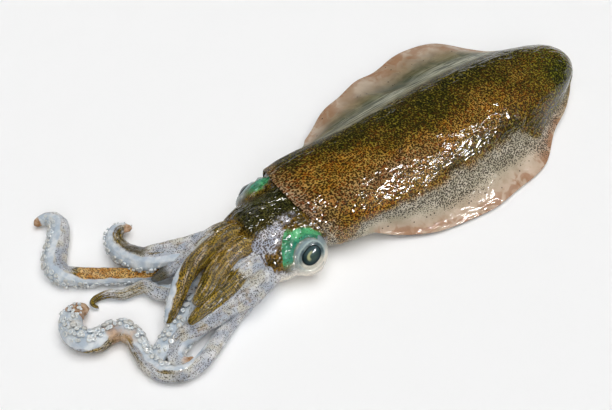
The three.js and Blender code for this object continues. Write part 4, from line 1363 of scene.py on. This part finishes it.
def main_camera():
    """The camera, turned and raised around its target and looking at it."""
    data = bpy.data.cameras.new("camera")
    data.lens = CAMERA_LENS
    data.sensor_width = CAMERA_SENSOR
    camera = bpy.data.objects.new("camera", data)
    turn, rise = math.radians(CAMERA_TURN), math.radians(CAMERA_RISE)
    back = Vector((math.sin(turn) * math.cos(rise), -math.cos(turn) * math.cos(rise), math.sin(rise)))
    camera.location = Vector(CAMERA_TARGET) * MM + back * CAMERA_DISTANCE
    camera.rotation_euler = back.to_track_quat("Z", "Y").to_euler()
    bpy.context.scene.collection.objects.link(camera)
    return camera


class SQUID_OT_stage(Operator):
    """Pale floor, soft studio light and the camera"""

    bl_idname = "squid.stage"
    bl_label = "Stage"

    def execute(self, context):
        settings = context.scene.squid
        table = table_top(settings)
        context.scene.world = studio_world()
        context.scene.view_settings.view_transform = "Standard"
        aim = Vector((-0.02, 0, 0.02))
        window = aim + Vector((0.387, -0.6, 0.68)) * 1.2
        soft_light("overhead", settings.soft_light, 58, Vector((0.1, -0.1, 1.0)))
        soft_light("front", settings.soft_light * 0.34, 36, Vector((-0.5, -0.8, 0.9)))
        glint_light("window", (0.6, 0.115), settings.window_light, window, aim)
        context.scene.camera = main_camera()
        return {"FINISHED"}


STEPS = (SQUID_OT_stage, SQUID_OT_body, SQUID_OT_head, SQUID_OT_eyes, SQUID_OT_limbs, SQUID_OT_suckers)


class SQUID_PT_panel(Panel):
    """Lists the settings and the steps"""

    bl_idname = "SQUID_PT_panel"
    bl_label = "Raw squid"
    bl_space_type = "VIEW_3D"
    bl_region_type = "UI"
    bl_category = "Squid"

    def draw(self, context):
        for name in SquidSettings.__annotations__:
            self.layout.prop(context.scene.squid, name)
        for operator in STEPS:
            self.layout.operator(operator.bl_idname)


CLASSES = (SquidSettings, *STEPS, SQUID_PT_panel)


def register():
    """Adds the settings, the steps and the panel to Blender."""
    for made in CLASSES:
        bpy.utils.register_class(made)
    bpy.types.Scene.squid = PointerProperty(type=SquidSettings)


def unregister():
    """Takes them out again."""
    del bpy.types.Scene.squid
    for made in reversed(CLASSES):
        bpy.utils.unregister_class(made)


def main():
    """Builds the whole animal and its stage."""
    register()
    bpy.ops.squid.stage()
    bpy.ops.squid.body()
    bpy.ops.squid.head()
    bpy.ops.squid.eyes()
    bpy.ops.squid.limbs()
    bpy.ops.squid.suckers()


if __name__ == "__main__":
    main()
